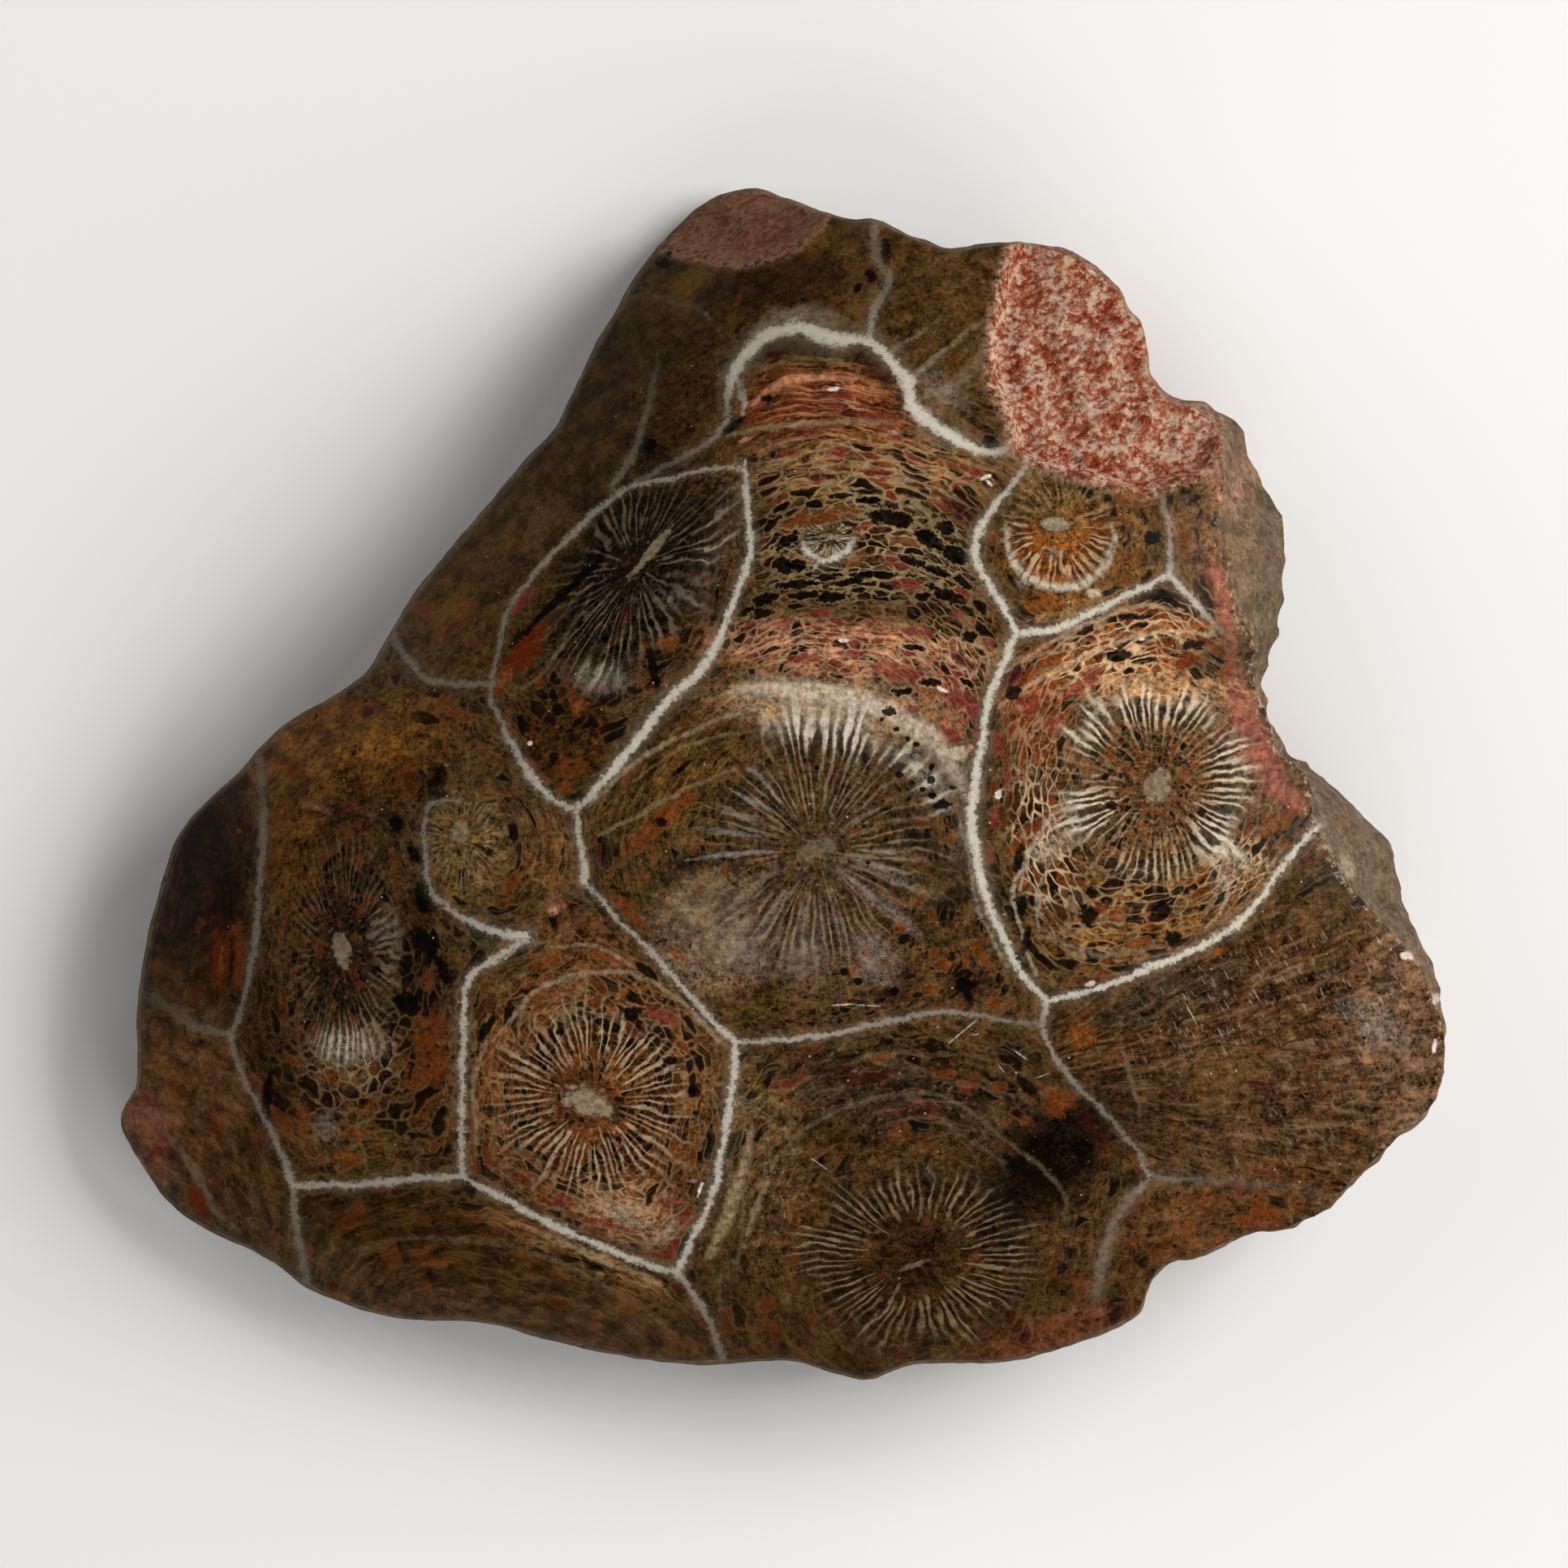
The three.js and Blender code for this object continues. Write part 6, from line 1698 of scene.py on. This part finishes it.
def matrix_nodes(n, t):
    """The rough matrix: cream, pink and red grains, twice as long as wide and lying together."""
    x, y, z = n.split(t["place"])
    cosine, sine = GRAIN_WAY
    across = n.sub(n.mul(y, cosine), n.mul(x, sine))
    along = n.add(n.mul(x, cosine), n.mul(y, sine))
    lie = n.combine(n.mul(along, 2.9), n.mul(across, 4.3), n.mul(z, 3.6))
    lie = n.vector("ADD", lie, n.scaled(t["grains"], 2.4))
    grain = n.split(n.cells(lie).outputs["Color"])
    clump = n.mul_add(n.noise(lie, 0.7, 3, 0.7).outputs["Fac"], 2.2, -0.85)
    pick = n.mul_add(grain[0], 0.5, n.mul_add(t["broad"][0], 1.6, -0.8))
    pick = n.add(pick, clump)
    pick = n.add(pick, n.mul_add(t["sand"][1], 1.6, -0.8))
    rubble = n.mix(n.step(pick, 0.05, 0.4), colour("red grain"), colour("brown grain"))
    rubble = n.mix(n.step(pick, 0.4, 0.85), rubble, colour("cream grain"))
    dull = n.mix(n.step(pick, 0.2, 0.7), colour("dull red grain"), colour("dull brown grain"))
    rubble = n.mix(n.step(x, 6.0, 3.0), rubble, dull)
    return n.scaled(rubble, n.step(t["sand"][0], 0.3, 0.65, 0.6, 1.15))


def stone_material():
    """Fossil coral: the fill with its stains, then lines, septa, spots, walls and scratches laid
    over one another, then the rough matrix with its dust, pale specks that are painted glints, the
    chips of the edge, the crust of the sides and the sawn back."""
    material = bpy.data.materials.new("fossil coral")
    material.use_nodes = True
    tree = material.node_tree
    tree.nodes.clear()
    n = Nodes(tree)
    t = textures(n)
    matrix, side, back = n.split(n.attribute("zone"))
    rim = n.step(n.mul(side, n.mul_add(t["sand"][1], 2.4, -0.2)), 0.05, 0.4)
    back = n.step(back, 0.02, 0.3)
    stone, thread = fill_nodes(n, t)
    stone = line_nodes(n, t, stone)
    stone = septa_nodes(n, t, stone, thread)
    stone, _ = mark_nodes(n, t, stone, thread, "spot")
    stone = wall_nodes(n, t, stone)
    stone = scratch_nodes(n, t, stone)
    edge = n.add(matrix, n.mul_add(t["sand"][1], 1.6, -0.8))
    dust = n.mul(n.step(matrix, 0.0, 0.3, 0.0, 0.7), n.step(t["sand"][1], 0.4, 0.55))
    stone = n.mix(dust, stone, colour("matrix dust"))
    stone = n.mix(n.step(edge, 0.2, 0.7), stone, matrix_nodes(n, t))

    # Tiny pale specks here and there, fewer where the stone is calm: painted glints, the sparkle of dust
    # and scratches painted into the colour as small highlights.
    glint_specks = n.cells(t["place"], 1.4)
    painted_glint = n.step(glint_specks.outputs["Distance"], 0.05, 0.1, 1.0, 0.0)
    glint_chance, _, _ = n.split(glint_specks.outputs["Color"])
    rare = n.step(glint_chance, 0.84, 0.86, 0.0, n.mul_add(t["calm"], -0.6, 0.75))
    stone = n.mix(n.mul(painted_glint, rare), stone, colour("painted_glint"))

    _, chipped, depth = n.split(n.attribute("wear"))
    chips = n.add(t["sand"][0], n.mul(chipped, 0.12))
    chips = n.mul(n.step(chips, 0.62, 0.72), chipped)
    stone = n.mix(n.mul(chips, 0.6), stone, colour("chip"))
    crust_share = n.mul_add(t["sand"][0], 0.45, n.mul(t["broad"][0], 0.55))
    crust_hue = n.mul_add(t["sand"][1], 0.4, n.mul(t["broad"][1], 0.6))
    crust_grit = n.mul_add(t["grit"][2], 0.5, n.mul(t["sand"][2], 0.5))
    skin = n.mix(n.step(crust_share, 0.3, 0.72), colour("dark crust"), colour("pale crust"))
    skin = n.mix(n.step(crust_hue, 0.5, 0.75, 0.0, 0.45), skin, colour("rusty crust"))
    skin = n.scaled(skin, n.step(crust_grit, 0.34, 0.64, 0.62, 1.36))
    stone = n.mix(n.mul(rim, n.step(depth, 0.0, 1.2, 0.35, 0.6)), stone, skin)
    stone = n.mix(back, stone, n.mix(0.5, stone, colour("sawn dust")))

    rough = n.most(n.most(matrix, rim), back)
    gloss = n.mul_add(rough, ROUGHER, POLISH)
    bump = n.new("ShaderNodeBump", {
        "Strength": n.mul(rough, BUMP), "Distance": BUMP_DEPTH,
        "Height": n.noise(t["place"], 1.1, 2, 0.65).outputs["Fac"]})
    shader = n.new("ShaderNodeBsdfPrincipled", {
        "Base Color": stone, "Roughness": gloss, "Normal": bump.outputs[0],
        "Specular IOR Level": SPECULAR, "IOR": IOR})
    output = n.new("ShaderNodeOutputMaterial")
    tree.links.new(shader.outputs[0], output.inputs["Surface"])
    return material


# The piece.
mesh = build_mesh()
mesh.materials.append(stone_material())
mesh.shade_smooth()
slice_piece = bpy.data.objects.new("polished_coral_slice", mesh)
bpy.context.scene.collection.objects.link(slice_piece)
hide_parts("coral_slice")
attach(slice_piece, "root")

# The floor, the light and the view from above.


def plain_material(name, shade, roughness):
    """One flat colour."""
    material = bpy.data.materials.new(name)
    material.use_nodes = True
    shader = material.node_tree.nodes["Principled BSDF"]
    shader.inputs["Base Color"].default_value = shade
    shader.inputs["Roughness"].default_value = roughness
    return material


def area_light(name, at, size, watts, shown=True):
    """A soft square light aimed at the slice, which glossy stone mirrors only where shown."""
    data = bpy.data.lights.new(name, "AREA")
    data.energy, data.size = watts, size
    light = bpy.data.objects.new(name, data)
    light.location = at
    light.visible_glossy = shown
    aim = np.array([0.0, 0.0, 0.01]) - np.array(at)
    light.rotation_euler = (np.arctan2(np.hypot(aim[0], aim[1]), -aim[2]), 0, np.arctan2(-aim[0], aim[1]))
    bpy.context.scene.collection.objects.link(light)


floor_mesh = bpy.data.meshes.new("floor")
corners = [(-1, -1), (1, -1), (1, 1), (-1, 1)]
corners = [(FLOOR_HALF * x, FLOOR_HALF * y, 0) for x, y in corners]
floor_mesh.from_pydata(corners, [], [(0, 1, 2, 3)])
floor_mesh.materials.append(plain_material("floor", (0.8, 0.79, 0.77, 1), 0.7))
floor = bpy.data.objects.new("floor", floor_mesh)
floor.location = (0, 0, -FLOOR_DROP)
bpy.context.scene.collection.objects.link(floor)

world = bpy.data.worlds.new("room")
world.use_nodes = True
world.node_tree.nodes["Background"].inputs["Color"].default_value = (0.9, 0.92, 0.95, 1)
world.node_tree.nodes["Background"].inputs["Strength"].default_value = 0.15
bpy.context.scene.world = world
bpy.context.scene.view_settings.view_transform = "Standard"
area_light("key", (0.55, 0.2, 0.42), 0.5, 6.5)
area_light("fill", (0.3, -0.5, 0.36), 0.6, 2.4, shown=False)
area_light("left", (-0.6, 0.25, 0.36), 0.8, 2.0, shown=False)

camera_data = bpy.data.cameras.new("camera")
camera_data.lens = LENS
camera_data.clip_start, camera_data.clip_end = 0.05, 20
camera_data.dof.use_dof = False
camera = bpy.data.objects.new("camera", camera_data)
camera.location = (0, 0, EYE_HEIGHT)
bpy.context.scene.collection.objects.link(camera)
bpy.context.scene.camera = camera
